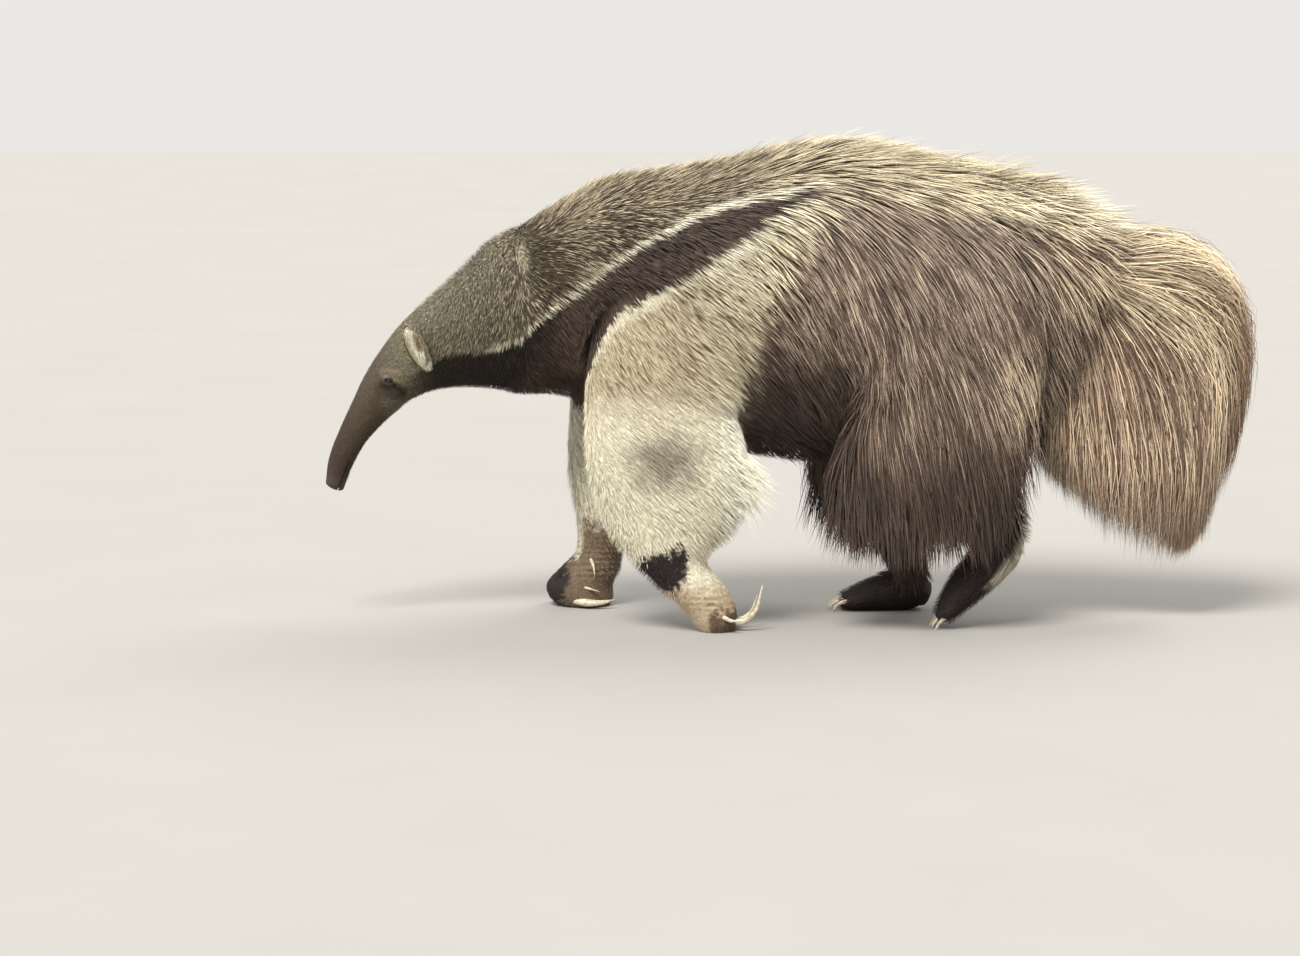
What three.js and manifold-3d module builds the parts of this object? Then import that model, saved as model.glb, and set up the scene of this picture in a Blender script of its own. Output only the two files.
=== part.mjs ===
// Giant anteater, life-size and still, walking to the left with its head held low.
// Millimetres, +Z up. The head points to -X and the animal's left side faces -Y.
// It stands with all four feet on the floor, z = 0.

import * as THREE from 'three';
import Module from 'manifold-3d';

const wasm = await Module();
wasm.setup();

// Gap kept between pieces that touch
const GAP = 0.3;
const FLOOR = 0;

// Head and neck, from the snout's tip back to the shoulders: the middle of each section,
// how far its plane leans forward in degrees, and its half depth and half width.
const SNOUT_TO_NECK = [
  { x: -679, z: 201, lean: 68, deep: 15, wide: 14 },
  { x: -670, z: 236, lean: 67, deep: 19, wide: 17 },
  { x: -652, z: 274.5, lean: 63, deep: 22, wide: 19.5 },
  { x: -630.5, z: 308, lean: 55, deep: 28, wide: 23.5 },
  { x: -609, z: 339, lean: 45, deep: 36.5, wide: 29 },
  { x: -586, z: 367, lean: 34, deep: 45, wide: 36 },
  { x: -554, z: 395, lean: 24, deep: 59, wide: 43 },
  { x: -518, z: 416, lean: 15, deep: 73, wide: 51 },
  { x: -477, z: 437, lean: 8, deep: 92, wide: 61 },
  { x: -438, z: 458, lean: 3, deep: 115, wide: 74 },
  { x: -398, z: 466, lean: 0, deep: 130, wide: 88 },
  { x: -350, z: 479, lean: 0, deep: 143, wide: 103 },
  { x: -310, z: 484, lean: 0, deep: 160, wide: 116 },
];
const HEAD_ENDS = 8;
const NECK_ENDS = 12;

// Trunk, out to the tips of its coat: top, bottom and half width of the section at each x,
// and how deep the coat is there.
const TRUNK = [
  { x: -438, top: 573, bottom: 343, half: 74, coat: 0 },
  { x: -398, top: 596, bottom: 336, half: 88, coat: 0 },
  { x: -350, top: 622, bottom: 336, half: 103, coat: 0 },
  { x: -310, top: 644, bottom: 324, half: 116, coat: 0 },
  { x: -250, top: 671, bottom: 288, half: 132, coat: 10 },
  { x: -170, top: 682, bottom: 262, half: 143, coat: 18 },
  { x: -90, top: 697, bottom: 246, half: 151, coat: 26 },
  { x: -10, top: 716, bottom: 232, half: 158, coat: 30 },
  { x: 60, top: 726, bottom: 224, half: 164, coat: 34 },
  { x: 140, top: 718, bottom: 222, half: 168, coat: 36 },
  { x: 220, top: 706, bottom: 230, half: 169, coat: 36 },
  { x: 300, top: 686, bottom: 250, half: 160, coat: 36 },
  { x: 360, top: 661, bottom: 300, half: 138, coat: 34 },
  { x: 405, top: 628, bottom: 376, half: 104, coat: 30 },
  { x: 434, top: 592, bottom: 446, half: 62, coat: 20 },
];
const CHEST_STARTS = -310;
const LOINS_START = -10;
const RUMP_ENDS = 434;

// A leg is a stack of level sections: the middle of each and its half sizes along x and y.
const FORELEG_LEFT = [
  { z: 560, x: -205, y: -74, long: 60, wide: 34 },
  { z: 480, x: -200, y: -103, long: 92, wide: 46 },
  { z: 400, x: -196, y: -112, long: 108, wide: 53 },
  { z: 341, x: -194, y: -114, long: 114, wide: 55 },
  { z: 265, x: -184, y: -114, long: 122, wide: 56 },
  { z: 209, x: -178, y: -112, long: 114, wide: 54 },
  { z: 155, x: -180, y: -110, long: 92, wide: 48 },
  { z: 120, x: -181, y: -110, long: 66, wide: 43 },
  { z: 96, x: -171, y: -110, long: 54, wide: 40 },
  { z: 62, x: -140, y: -110, long: 50, wide: 39 },
  { z: 34, x: -119, y: -110, long: 42, wide: 37 },
  { z: 12, x: -110, y: -110, long: 34, wide: 33 },
  { z: 0, x: -108, y: -110, long: 26, wide: 26 },
];
const FORELEG_RIGHT = [
  { z: 560, x: -208, y: 74, long: 60, wide: 34 },
  { z: 480, x: -208, y: 103, long: 92, wide: 46 },
  { z: 400, x: -214, y: 112, long: 108, wide: 53 },
  { z: 309, x: -226, y: 114, long: 108, wide: 55 },
  { z: 253, x: -235, y: 114, long: 102, wide: 54 },
  { z: 212, x: -248, y: 114, long: 88, wide: 50 },
  { z: 182, x: -257, y: 114, long: 72, wide: 46 },
  { z: 147, x: -264, y: 114, long: 58, wide: 41 },
  { z: 106, x: -277, y: 114, long: 41, wide: 35 },
  { z: 82, x: -284, y: 114, long: 38, wide: 35 },
  { z: 60, x: -296, y: 114, long: 46, wide: 39 },
  { z: 34, x: -313, y: 114, long: 53, wide: 43 },
  { z: 12, x: -311, y: 114, long: 50, wide: 41 },
  { z: 0, x: -306, y: 114, long: 38, wide: 32 },
];
const ELBOW = 250;
const WRIST = 104;

// The thigh, out to the tips of its coat, which hangs over the knee as a skirt.
const THIGH_COAT = 40;
const THIGH_LEFT = [
  { z: 600, x: 285, y: -66, long: 60, wide: 40 },
  { z: 530, x: 275, y: -98, long: 100, wide: 50 },
  { z: 450, x: 262, y: -126, long: 118, wide: 58 },
  { z: 370, x: 238, y: -131, long: 138, wide: 62 },
  { z: 300, x: 208, y: -131, long: 150, wide: 62 },
  { z: 242, x: 190, y: -129, long: 154, wide: 59 },
  { z: 202, x: 191, y: -126, long: 142, wide: 54 },
  { z: 160, x: 196, y: -122, long: 116, wide: 47 },
  { z: 125, x: 190, y: -120, long: 92, wide: 38 },
  { z: 98, x: 182, y: -118, long: 62, wide: 26 },
];
const THIGH_TOP = 595;
const KNEE_BOTTOM = 158;
const FAR_THIGH_FORWARD = -22;

// Shank and foot run along a path: the middle of each section, its half depth and half width.
const SHANK_LEFT = [
  { x: 150, y: -108, z: 262, deep: 54, wide: 42 },
  { x: 222, y: -98, z: 208, deep: 52, wide: 40 },
  { x: 280, y: -90, z: 172, deep: 42, wide: 35 },
  { x: 322, y: -86, z: 146, deep: 30, wide: 29 },
];
const FOOT_LEFT = [
  { x: 334, y: -84, z: 136, deep: 22, wide: 24 },
  { x: 312, y: -84, z: 112, deep: 34, wide: 31 },
  { x: 282, y: -83, z: 82, deep: 33, wide: 35 },
  { x: 254, y: -82, z: 50, deep: 27, wide: 38 },
  { x: 236, y: -82, z: 27, deep: 19, wide: 36 },
  { x: 227, y: -82, z: 16, deep: 11, wide: 28 },
];
const SHANK_RIGHT = [
  { x: 112, y: 100, z: 262, deep: 50, wide: 42 },
  { x: 138, y: 92, z: 200, deep: 48, wide: 40 },
  { x: 164, y: 84, z: 140, deep: 40, wide: 35 },
  { x: 182, y: 80, z: 92, deep: 33, wide: 31 },
  { x: 190, y: 78, z: 62, deep: 30, wide: 30 },
];
const FOOT_RIGHT = [
  { x: 214, y: 76, z: 24, deep: 22, wide: 26 },
  { x: 196, y: 76, z: 29, deep: 31, wide: 32 },
  { x: 160, y: 76, z: 26, deep: 30, wide: 36 },
  { x: 122, y: 76, z: 20, deep: 23, wide: 39 },
  { x: 98, y: 76, z: 14, deep: 16, wide: 36 },
  { x: 88, y: 76, z: 11, deep: 9, wide: 27 },
];

// The tail's solid core runs along a drooping path from inside the rump.
const TAIL_CORE = [
  { x: 352, y: 0, z: 500, deep: 88, wide: 64 },
  { x: 400, y: 0, z: 508, deep: 84, wide: 62 },
  { x: 452, y: 0, z: 512, deep: 77, wide: 60 },
  { x: 512, y: 0, z: 502, deep: 71, wide: 58 },
  { x: 563, y: 0, z: 468, deep: 65, wide: 55 },
  { x: 594, y: 0, z: 414, deep: 57, wide: 50 },
  { x: 605, y: 0, z: 350, deep: 48, wide: 44 },
  { x: 605, y: 0, z: 288, deep: 38, wide: 36 },
  { x: 600, y: 0, z: 236, deep: 24, wide: 24 },
];
// Each length of the tail, and the places along it where locks grow: on its back, hanging
// down its sides, and hanging between the sides.
const TAIL_PARTS = {
  tail_base: { from: 0, to: 2.6, back: [1.1, 1.9], hang: [0.95, 1.55, 2.15], inner: [1.2, 2.1] },
  tail_middle: { from: 2.6, to: 4.8, back: [2.7, 3.5, 4.3], hang: [2.8, 3.4, 4.0], inner: [2.9] },
  tail_tip: { from: 4.8, to: 8, back: [5.0, 6.0, 7.0], hang: [5.4], inner: [] },
};
// Turns of the back locks away from the tail's outer line, in radians
const TAIL_TURNS = [-0.85, 0, 0.85];

// The tail's whole brush out to the hair tips, as level sections.
const TAIL_BRUSH = [
  { z: 640, x: 440, long: 20, wide: 16 },
  { z: 600, x: 478, long: 80, wide: 52 },
  { z: 553, x: 520, long: 130, wide: 78 },
  { z: 501, x: 535, long: 148, wide: 92 },
  { z: 432, x: 536, long: 156, wide: 100 },
  { z: 350, x: 532, long: 152, wide: 96 },
  { z: 280, x: 530, long: 142, wide: 86 },
  { z: 240, x: 532, long: 130, wide: 76 },
  { z: 200, x: 536, long: 108, wide: 64 },
  { z: 160, x: 546, long: 84, wide: 50 },
  { z: 125, x: 552, long: 56, wide: 32 },
  { z: 104, x: 552, long: 24, wide: 14 },
];

// The level of the hair tips under a place along the tail.
const brushBottom = (x) => {
  const low = TAIL_BRUSH.filter((at) => at.z < 432);
  const gone = low.find((at) => Math.abs(x - at.x) > at.long);
  return gone ? gone.z : 106;
};

// Locks of hair: width, thickness and length where each grows, and the lie in degrees below
// the horizontal, pointing to the tail.
const LOCKS = {
  mane: { wide: 46, thick: 8, long: 92, sink: 12, lift: 8, rows: 3 },
  shoulder: { wide: 60, thick: 8, long: 116, sink: 11, lift: 9, rows: 3 },
  back: { wide: 74, thick: 9, long: 132, sink: 14, lift: 13, rows: 3 },
  flank: { wide: 70, thick: 10, long: 160, sink: 15, lift: 14, rows: 3 },
  thigh: { wide: 66, thick: 10, long: 138, sink: 15, lift: 14, rows: 3 },
  rump: { wide: 62, thick: 10, long: 120, sink: 22, rows: 3 },
  elbow: { wide: 40, thick: 9, long: 56, sink: 16, rows: 3 },
  tailBack: { wide: 66, thick: 10, long: 135, sink: 15, lift: 26, rows: 3 },
  tailHang: { wide: 68, thick: 10, long: 250, sink: 16, lift: 6, rows: 4 },
};

const EYE = { x: -594, y: 27.5, z: 362.5, radius: 7.5, lid: 2 };
const EAR = {
  x: -552, y: 48, z: 415, long: 33, wide: 16, out: 14, wall: 2.4, tilt: 25, turn: 50,
};
const MOUTH = { long: 46, gap: 1.4, deep: 3 };
const NOSTRIL = { across: 6, tall: 3.6, wide: 2 };

// Each claw: points along its middle from its root in the paw, and its thickness there.
const FORE_CLAWS = {
  left: [
    { name: 'thumb', path: [[-104, -86, 40], [-92, -80, 32], [-82, -79, 22]], thick: 7 },
    { name: 'second', path: [[-108, -96, 24], [-78, -94, 13], [-57, -94, 24], [-47, -95, 50]], thick: 10 },
    { name: 'third', path: [[-106, -116, 24], [-74, -118, 13], [-50, -121, 31], [-40, -124, 70]], thick: 13 },
    { name: 'fourth', path: [[-108, -134, 30], [-88, -142, 20], [-74, -145, 20]], thick: 8 },
  ],
  right: [
    { name: 'thumb', path: [[-298, 88, 78], [-292, 75, 66], [-290, 70, 50]], thick: 7 },
    { name: 'second', path: [[-326, 88, 38], [-302, 75, 32], [-283, 72, 27]], thick: 8 },
    { name: 'third', path: [[-332, 92, 16], [-306, 75, 10], [-282, 71, 10], [-260, 73, 14]], thick: 17 },
    { name: 'fourth', path: [[-344, 132, 22], [-352, 146, 14], [-346, 156, 6]], thick: 8 },
  ],
};
const TOES = 5;
const HIND_CLAWS = {
  left: { middle: -82, spread: 25, path: [[240, 28], [224, 18], [214, 8], [209, -2]], thick: 8 },
  right: { middle: 76, spread: 27, path: [[100, 16], [82, 15], [70, 9], [64, -2]], thick: 8 },
};

// Small helpers

const point = (x, y, z) => new THREE.Vector3(x, y, z);
const radians = (degrees) => (degrees * Math.PI) / 180;
const SIDES = { left: -1, right: 1 };

// Repeatable random numbers from -1 to 1.
let seed = 129;
function vary(size) {
  seed = (seed * 16807) % 2147483647;
  return size * ((2 * seed) / 2147483647 - 1);
}

// Smooth values between stations; the place is a fractional index in the list.
function between(stations, place) {
  const last = stations.length - 1;
  const index = Math.min(Math.floor(place), last - 1);
  const t = place - index;
  const before = stations[Math.max(index - 1, 0)];
  const from = stations[index];
  const to = stations[index + 1];
  const after = stations[Math.min(index + 2, last)];
  const found = {};
  for (const key of Object.keys(from)) {
    const slopeFrom = (to[key] - before[key]) / (index > 0 ? 2 : 1);
    const slopeTo = (after[key] - from[key]) / (index + 2 <= last ? 2 : 1);
    const rise = to[key] - from[key];
    const bend = 3 * rise - 2 * slopeFrom - slopeTo;
    const pull = slopeFrom + slopeTo - 2 * rise;
    found[key] = from[key] + t * (slopeFrom + t * (bend + t * pull));
  }
  return found;
}

// The fractional index at which a station's value reaches a level.
function placeAt(stations, key, level) {
  for (let index = 0; index < stations.length - 1; index += 1) {
    const from = stations[index][key];
    const to = stations[index + 1][key];
    if ((from - level) * (to - level) <= 0 && from !== to) {
      return index + (level - from) / (to - from);
    }
  }
  return stations.length - 1;
}

// Closed solids

function solid(points, triangles) {
  let volume = 0;
  for (const [a, b, c] of triangles) {
    volume += points[a].dot(points[b].clone().cross(points[c]));
  }
  const faces = volume < 0 ? triangles.map(([a, b, c]) => [a, c, b]) : triangles;
  const vertProperties = new Float32Array(points.flatMap((p) => [p.x, p.y, p.z]));
  const triVerts = new Uint32Array(faces.flat());
  return new wasm.Manifold(new wasm.Mesh({ numProp: 3, vertProperties, triVerts }));
}

// Skins a row of rings and closes each end with a fan.
function loft(rings) {
  const count = rings[0].length;
  const points = rings.flat();
  const triangles = [];
  for (let row = 0; row < rings.length - 1; row += 1) {
    for (let side = 0; side < count; side += 1) {
      const a = row * count + side;
      const b = row * count + ((side + 1) % count);
      triangles.push([a, b, b + count], [a, b + count, a + count]);
    }
  }
  const lastRow = (rings.length - 1) * count;
  for (const [start, turned] of [[0, true], [lastRow, false]]) {
    const middle = points.length;
    const centre = point(0, 0, 0);
    for (let side = 0; side < count; side += 1) {
      centre.add(points[start + side]);
    }
    points.push(centre.divideScalar(count));
    for (let side = 0; side < count; side += 1) {
      const a = start + side;
      const b = start + ((side + 1) % count);
      triangles.push(turned ? [middle, b, a] : [middle, a, b]);
    }
  }
  return solid(points, triangles);
}

// An oval of points round a middle, from its two half axes.
function oval(middle, across, up, count) {
  const ring = [];
  for (let side = 0; side < count; side += 1) {
    const turn = (2 * Math.PI * side) / count;
    ring.push(
      middle.clone().addScaledVector(across, Math.cos(turn)).addScaledVector(up, Math.sin(turn)),
    );
  }
  return ring;
}

const ACROSS = point(0, 1, 0);

function headRing(place, grow) {
  const at = between(SNOUT_TO_NECK, place);
  const lean = radians(at.lean);
  const up = point(-Math.sin(lean), 0, Math.cos(lean)).multiplyScalar(at.deep + grow);
  return oval(point(at.x, 0, at.z), ACROSS.clone().multiplyScalar(at.wide + grow), up, 16);
}

function trunkSection(x) {
  return between(TRUNK, placeAt(TRUNK, 'x', x));
}

// The trunk's core, which reaches half way to the tips of the coat.
function trunkRing(x, grow) {
  const at = trunkSection(x);
  const middle = point(x, 0, (at.top + at.bottom) / 2);
  const inset = grow - at.coat / 2;
  const up = point(0, 0, (at.top - at.bottom) / 2 + inset);
  return oval(middle, ACROSS.clone().multiplyScalar(at.half + inset), up, 20);
}

function legRing(stations, z, grow, count) {
  const at = between(stations, placeAt(stations, 'z', z));
  return oval(point(at.x, at.y, z), point(at.long + grow, 0, 0), point(0, at.wide + grow, 0), count);
}

// Rings square to a path of stations that have their own half depth and half width.
function pathRings(stations, steps, count, grow) {
  const rings = [];
  const last = stations.length - 1;
  for (let step = 0; step <= steps; step += 1) {
    const place = (last * step) / steps;
    const at = between(stations, place);
    const ahead = between(stations, Math.min(place + 0.02, last));
    const behind = between(stations, Math.max(place - 0.02, 0));
    const along = point(ahead.x - behind.x, ahead.y - behind.y, ahead.z - behind.z).normalize();
    const across = ACROSS.clone().addScaledVector(along, -ACROSS.dot(along)).normalize();
    const up = along.clone().cross(across).multiplyScalar(at.deep + grow);
    rings.push(oval(point(at.x, at.y, at.z), across.multiplyScalar(at.wide + grow), up, count));
  }
  return rings;
}

function steps(from, to, count) {
  return Array.from({ length: count + 1 }, (_, step) => from + ((to - from) * step) / count);
}

const headLoft = (from, to, count, grow = 0) =>
  loft(steps(from, to, count).map((place) => headRing(place, grow)));
const trunkLoft = (from, to, count, grow = 0) =>
  loft(steps(from, to, count).map((x) => trunkRing(x, grow)));
const legLoft = (stations, from, to, rows, grow = 0, count = 14) =>
  loft(steps(from, to, rows).map((z) => legRing(stations, z, grow, count)));
const pathLoft = (stations, rows, count, grow = 0) =>
  loft(pathRings(stations, rows, count, grow));

function ball(middle, halves, rows, count) {
  const rings = [];
  for (let row = 1; row < rows; row += 1) {
    const turn = (Math.PI * row) / rows;
    const at = point(middle.x, middle.y, middle.z - Math.cos(turn) * halves.z);
    const size = Math.sin(turn);
    rings.push(oval(at, point(halves.x * size, 0, 0), point(0, halves.y * size, 0), count));
  }
  return loft(rings);
}

function block(low, high) {
  const corner = (x, y, z) => point(x, y, z);
  const floor = [corner(low.x, low.y, low.z), corner(high.x, low.y, low.z),
    corner(high.x, high.y, low.z), corner(low.x, high.y, low.z)];
  return loft([floor, floor.map((at) => at.clone().setZ(high.z))]);
}

const aboveFloor = (shape) => shape.intersect(block(point(-2000, -2000, FLOOR), point(2000, 2000, 2000)));

// A claw: a curved spike, deeper than it is wide.
function claw(path, thick, grow) {
  const curve = new THREE.CatmullRomCurve3(path.map(([x, y, z]) => point(x, y, z)));
  const rings = [];
  const rows = 4;
  const start = curve.getPoint(0);
  const sideways = curve.getTangent(0).cross(curve.getPoint(0.5).sub(start)).normalize();
  for (let row = 0; row <= rows; row += 1) {
    const t = row / rows;
    const along = curve.getTangent(t);
    const across = sideways.clone().addScaledVector(along, -sideways.dot(along)).normalize();
    const up = along.clone().cross(across);
    const half = (thick / 2) * (1 - 0.86 * t ** 1.6) + grow;
    rings.push(oval(curve.getPoint(t), across.multiplyScalar(half * 0.8), up.multiplyScalar(half), 6));
  }
  return loft(rings);
}

// A lock of hair: a flat tapered strip along its points, widest past the root, with its
// flat side square to the normals.
const WIDEST = 0.3;
const ROOT_WIDTH = 0.72;
function lockWidth(t) {
  if (t < WIDEST) {
    return ROOT_WIDTH + ((1 - ROOT_WIDTH) * t) / WIDEST;
  }
  return Math.sqrt(1 - ((t - WIDEST) / (1 - WIDEST)) ** 2);
}

function lock({ points, normals, wide, thick }, grow) {
  const last = points.length - 1;
  const corners = [];
  for (let row = 0; row < last; row += 1) {
    const along = points[row + 1].clone().sub(points[Math.max(row - 1, 0)]).normalize();
    const across = normals[row].clone().cross(along).normalize();
    const up = along.clone().cross(across).normalize();
    const half = (wide / 2) * lockWidth(row / last) + grow * 2;
    const high = (thick / 2) * (1 - (0.6 * row) / last) + grow * 1.3;
    const at = points[row].clone().addScaledVector(along, row === 0 ? -grow : 0);
    corners.push(at.clone().addScaledVector(across, half), at.clone().addScaledVector(up, high));
    corners.push(at.clone().addScaledVector(across, -half), at.clone().addScaledVector(up, -high));
  }
  const onward = points[last].clone().sub(points[last - 1]).normalize();
  corners.push(points[last].clone().addScaledVector(onward, grow * 8));
  const triangles = [[0, 1, 2], [0, 2, 3]];
  for (let row = 0; row < last - 1; row += 1) {
    for (let side = 0; side < 4; side += 1) {
      const a = row * 4 + side;
      const b = row * 4 + ((side + 1) % 4);
      triangles.push([a, b + 4, b], [a, a + 4, b + 4]);
    }
  }
  const ring = (last - 1) * 4;
  for (let side = 0; side < 4; side += 1) {
    triangles.push([ring + side, last * 4, ring + ((side + 1) % 4)]);
  }
  return solid(corners, triangles);
}

const fuse = (shapes) => shapes.reduce((whole, shape) => whole.add(shape));

const model = new THREE.Group();

// Adds a named node, keeping its largest closed surface.
function addNode(name, shape, color, roughness) {
  const largest = shape.decompose().sort((a, b) => b.volume() - a.volume())[0];
  const mesh = largest.getMesh();
  const geometry = new THREE.BufferGeometry();
  geometry.setAttribute('position', new THREE.BufferAttribute(mesh.vertProperties, 3));
  geometry.setIndex(new THREE.BufferAttribute(mesh.triVerts, 1));
  geometry.computeVertexNormals();
  const material = new THREE.MeshStandardMaterial({ color, roughness, metalness: 0 });
  const node = new THREE.Mesh(geometry, material);
  node.name = name;
  model.add(node);
}

const HEAD_COLOR = 0x6e695a;
const TORSO_COLOR = 0x7a6a58;
const DARK_COLOR = 0x4a3d36;
const PALE_COLOR = 0xd8d2b4;
const TAIL_COLOR = 0x8a7458;
const CLAW_COLOR = 0xc9bfa6;
const EYE_COLOR = 0x120d0a;
const FUR_ROUGHNESS = 0.85;

// Head, eyes and ears

function eyeBall(side, grow) {
  const radius = EYE.radius + grow;
  return ball(point(EYE.x, side * EYE.y, EYE.z), point(radius, radius, radius), 6, 9);
}

// The lids: a thin cover over the eye with an almond opening between them.
function lids(side) {
  const radius = EYE.radius + EYE.lid;
  return ball(point(EYE.x, side * EYE.y, EYE.z), point(radius + 1, radius, radius), 6, 8);
}

function lidOpening(side) {
  const halves = point(EYE.radius * 0.95, EYE.radius, EYE.radius * 0.5);
  return ball(point(0, 0, 0), halves, 4, 8)
    .rotate([0, 52, 0])
    .translate([EYE.x, side * (EYE.y + EYE.radius), EYE.z]);
}

// The cup of an ear is an oval ball, hollowed from its open side, which faces forwards and out.
function earBall(side, shift, shrink) {
  const halves = point(EAR.out - shrink, EAR.wide - shrink, EAR.long - shrink);
  return ball(point(-shift, 0, 0), halves, 6, 10)
    .rotate([0, 0, side * -EAR.turn])
    .rotate([0, -EAR.tilt, 0])
    .translate([EAR.x, side * EAR.y, EAR.z]);
}

const ear = (side) => earBall(side, 0, 0).subtract(earBall(side, EAR.out * 0.62, EAR.wall));

// The slit of the mouth runs round the snout's tip, low on its sides.
function mouthSlit() {
  const tip = SNOUT_TO_NECK[0];
  const low = point(-10, -40, -MOUTH.gap / 2);
  return block(low, point(MOUTH.long, 40, MOUTH.gap / 2))
    .rotate([0, -tip.lean, 0])
    .translate([tip.x + 6, 0, tip.z - 3])
    .subtract(headLoft(0, 3, 5, -MOUTH.deep));
}

function nostril(side) {
  const halves = point(NOSTRIL.tall, NOSTRIL.wide, NOSTRIL.tall);
  const tip = headRing(0, -NOSTRIL.tall / 2)[4];
  return ball(tip, halves, 4, 6).translate([-1, (side * NOSTRIL.across) / 2 + side, 0]);
}

let head = headLoft(0, HEAD_ENDS, 15).subtract(mouthSlit());
for (const [name, side] of Object.entries(SIDES)) {
  head = head.add(lids(side)).subtract(eyeBall(side, GAP)).subtract(lidOpening(side));
  head = head.subtract(nostril(side)).subtract(earBall(side, 0, -GAP));
  addNode(`eye_${name}`, eyeBall(side, 0), EYE_COLOR, 0.15);
  addNode(`ear_${name}`, ear(side), HEAD_COLOR, FUR_ROUGHNESS);
}
addNode('head', head, HEAD_COLOR, FUR_ROUGHNESS);

// Where locks grow. Each returns the points and normals of one lock on its own surface.

const reachesOf = (kind, length) => steps(0, length, kind.rows);
const liftAt = (kind, t, layer) =>
  (kind.lift + layer) * t ** 0.6 - kind.sink * Math.max(0, 1 - 4 * t);

const varied = (kind) => ({ wide: kind.wide * (1 + vary(0.12)), thick: kind.thick });

// On the trunk: from x, at an angle down from the spine, over its side. Past the widest
// line the hair hangs straight down. The layer lifts every other lock over its neighbour.
const HANGS_FROM = 1.72;
function trunkLock(kind, side, x, down, lie, layer) {
  const points = [];
  const normals = [];
  const length = kind.long * (1 + vary(0.14));
  const slope = radians(lie + vary(5));
  for (const reach of reachesOf(kind, length)) {
    const at = trunkSection(Math.min(x + reach * Math.cos(slope), RUMP_ENDS));
    const middle = (at.top + at.bottom) / 2;
    const tall = (at.top - at.bottom) / 2;
    const inset = liftAt(kind, reach / length, layer) - at.coat / 2;
    const turn = down + (reach * Math.sin(slope)) / ((tall + at.half) / 2);
    const hang = Math.max(0, turn - HANGS_FROM) * tall;
    const held = Math.min(turn, HANGS_FROM);
    const y = side * (at.half + inset) * Math.sin(held);
    const z = middle + (tall + inset) * Math.cos(held) - hang;
    points.push(point(x + reach * Math.cos(slope), y, z));
    normals.push(point(0, (side * Math.sin(held)) / at.half, Math.cos(held) / tall).normalize());
  }
  return { points, normals, ...varied(kind) };
}

// On a leg made of level sections: from x and z on its outer face, running down and back.
function legLock(kind, stations, side, x, z, lie, lowest, inset, layer) {
  const points = [];
  const normals = [];
  const length = kind.long * (1 + vary(0.14));
  const slope = radians(lie + vary(5));
  for (const reach of reachesOf(kind, length)) {
    const level = z - reach * Math.sin(slope);
    const at = between(stations, placeAt(stations, 'z', Math.max(level, lowest)));
    const lift = liftAt(kind, reach / length, layer) - inset;
    const along = x + reach * Math.cos(slope);
    const off = Math.min(Math.max((along - at.x) / (at.long + lift), -0.97), 0.97);
    const bulge = Math.sqrt(1 - off * off);
    const surfaceX = at.x + off * (at.long + lift);
    points.push(point(surfaceX, at.y + side * (at.wide + lift) * bulge, level));
    normals.push(point(off / at.long, (side * bulge) / at.wide, 0).normalize());
  }
  return { points, normals, ...varied(kind) };
}

// Standing off the rear of a leg or of the rump: back and down, sagging to its tip.
function freeLock(kind, root, lie, normal) {
  const slope = radians(lie + vary(4));
  const way = point(Math.cos(slope), 0, -Math.sin(slope));
  const length = kind.long * (1 + vary(0.14));
  const points = steps(-kind.sink, length, kind.rows).map((reach) => {
    const sag = 0.0022 * Math.max(0, reach) ** 2;
    return root.clone().addScaledVector(way, reach).add(point(0, 0, -sag));
  });
  return { points, normals: points.map(() => normal), ...varied(kind) };
}

// Along the outer curve of the tail: from a place on its core, at an angle from the top.
function tailBackLock(kind, place, turn, layer) {
  const points = [];
  const normals = [];
  const last = TAIL_CORE.length - 1;
  const length = kind.long * (1 + vary(0.14));
  const gap = length / kind.rows;
  let along = place;
  for (const reach of reachesOf(kind, length)) {
    const held = Math.min(along, last);
    const at = between(TAIL_CORE, held);
    const ahead = between(TAIL_CORE, Math.min(held + 0.02, last));
    const back = between(TAIL_CORE, held - 0.02);
    const way = point(ahead.x - back.x, 0, ahead.z - back.z);
    const pace = way.length() / (held + 0.02 > last ? 0.02 : 0.04);
    way.normalize();
    const up = point(-way.z, 0, way.x);
    const lift = liftAt(kind, reach / length, layer);
    points.push(
      point(at.x, 0, at.z)
        .addScaledVector(up, (at.deep + lift) * Math.cos(turn))
        .addScaledVector(ACROSS, (at.wide + lift) * Math.sin(turn))
        .addScaledVector(way, Math.max(0, along - last) * pace),
    );
    normals.push(up.clone().multiplyScalar(Math.cos(turn)).addScaledVector(ACROSS, Math.sin(turn)));
    along += gap / (pace * 1.25);
  }
  return { points, normals, ...varied(kind) };
}

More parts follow.
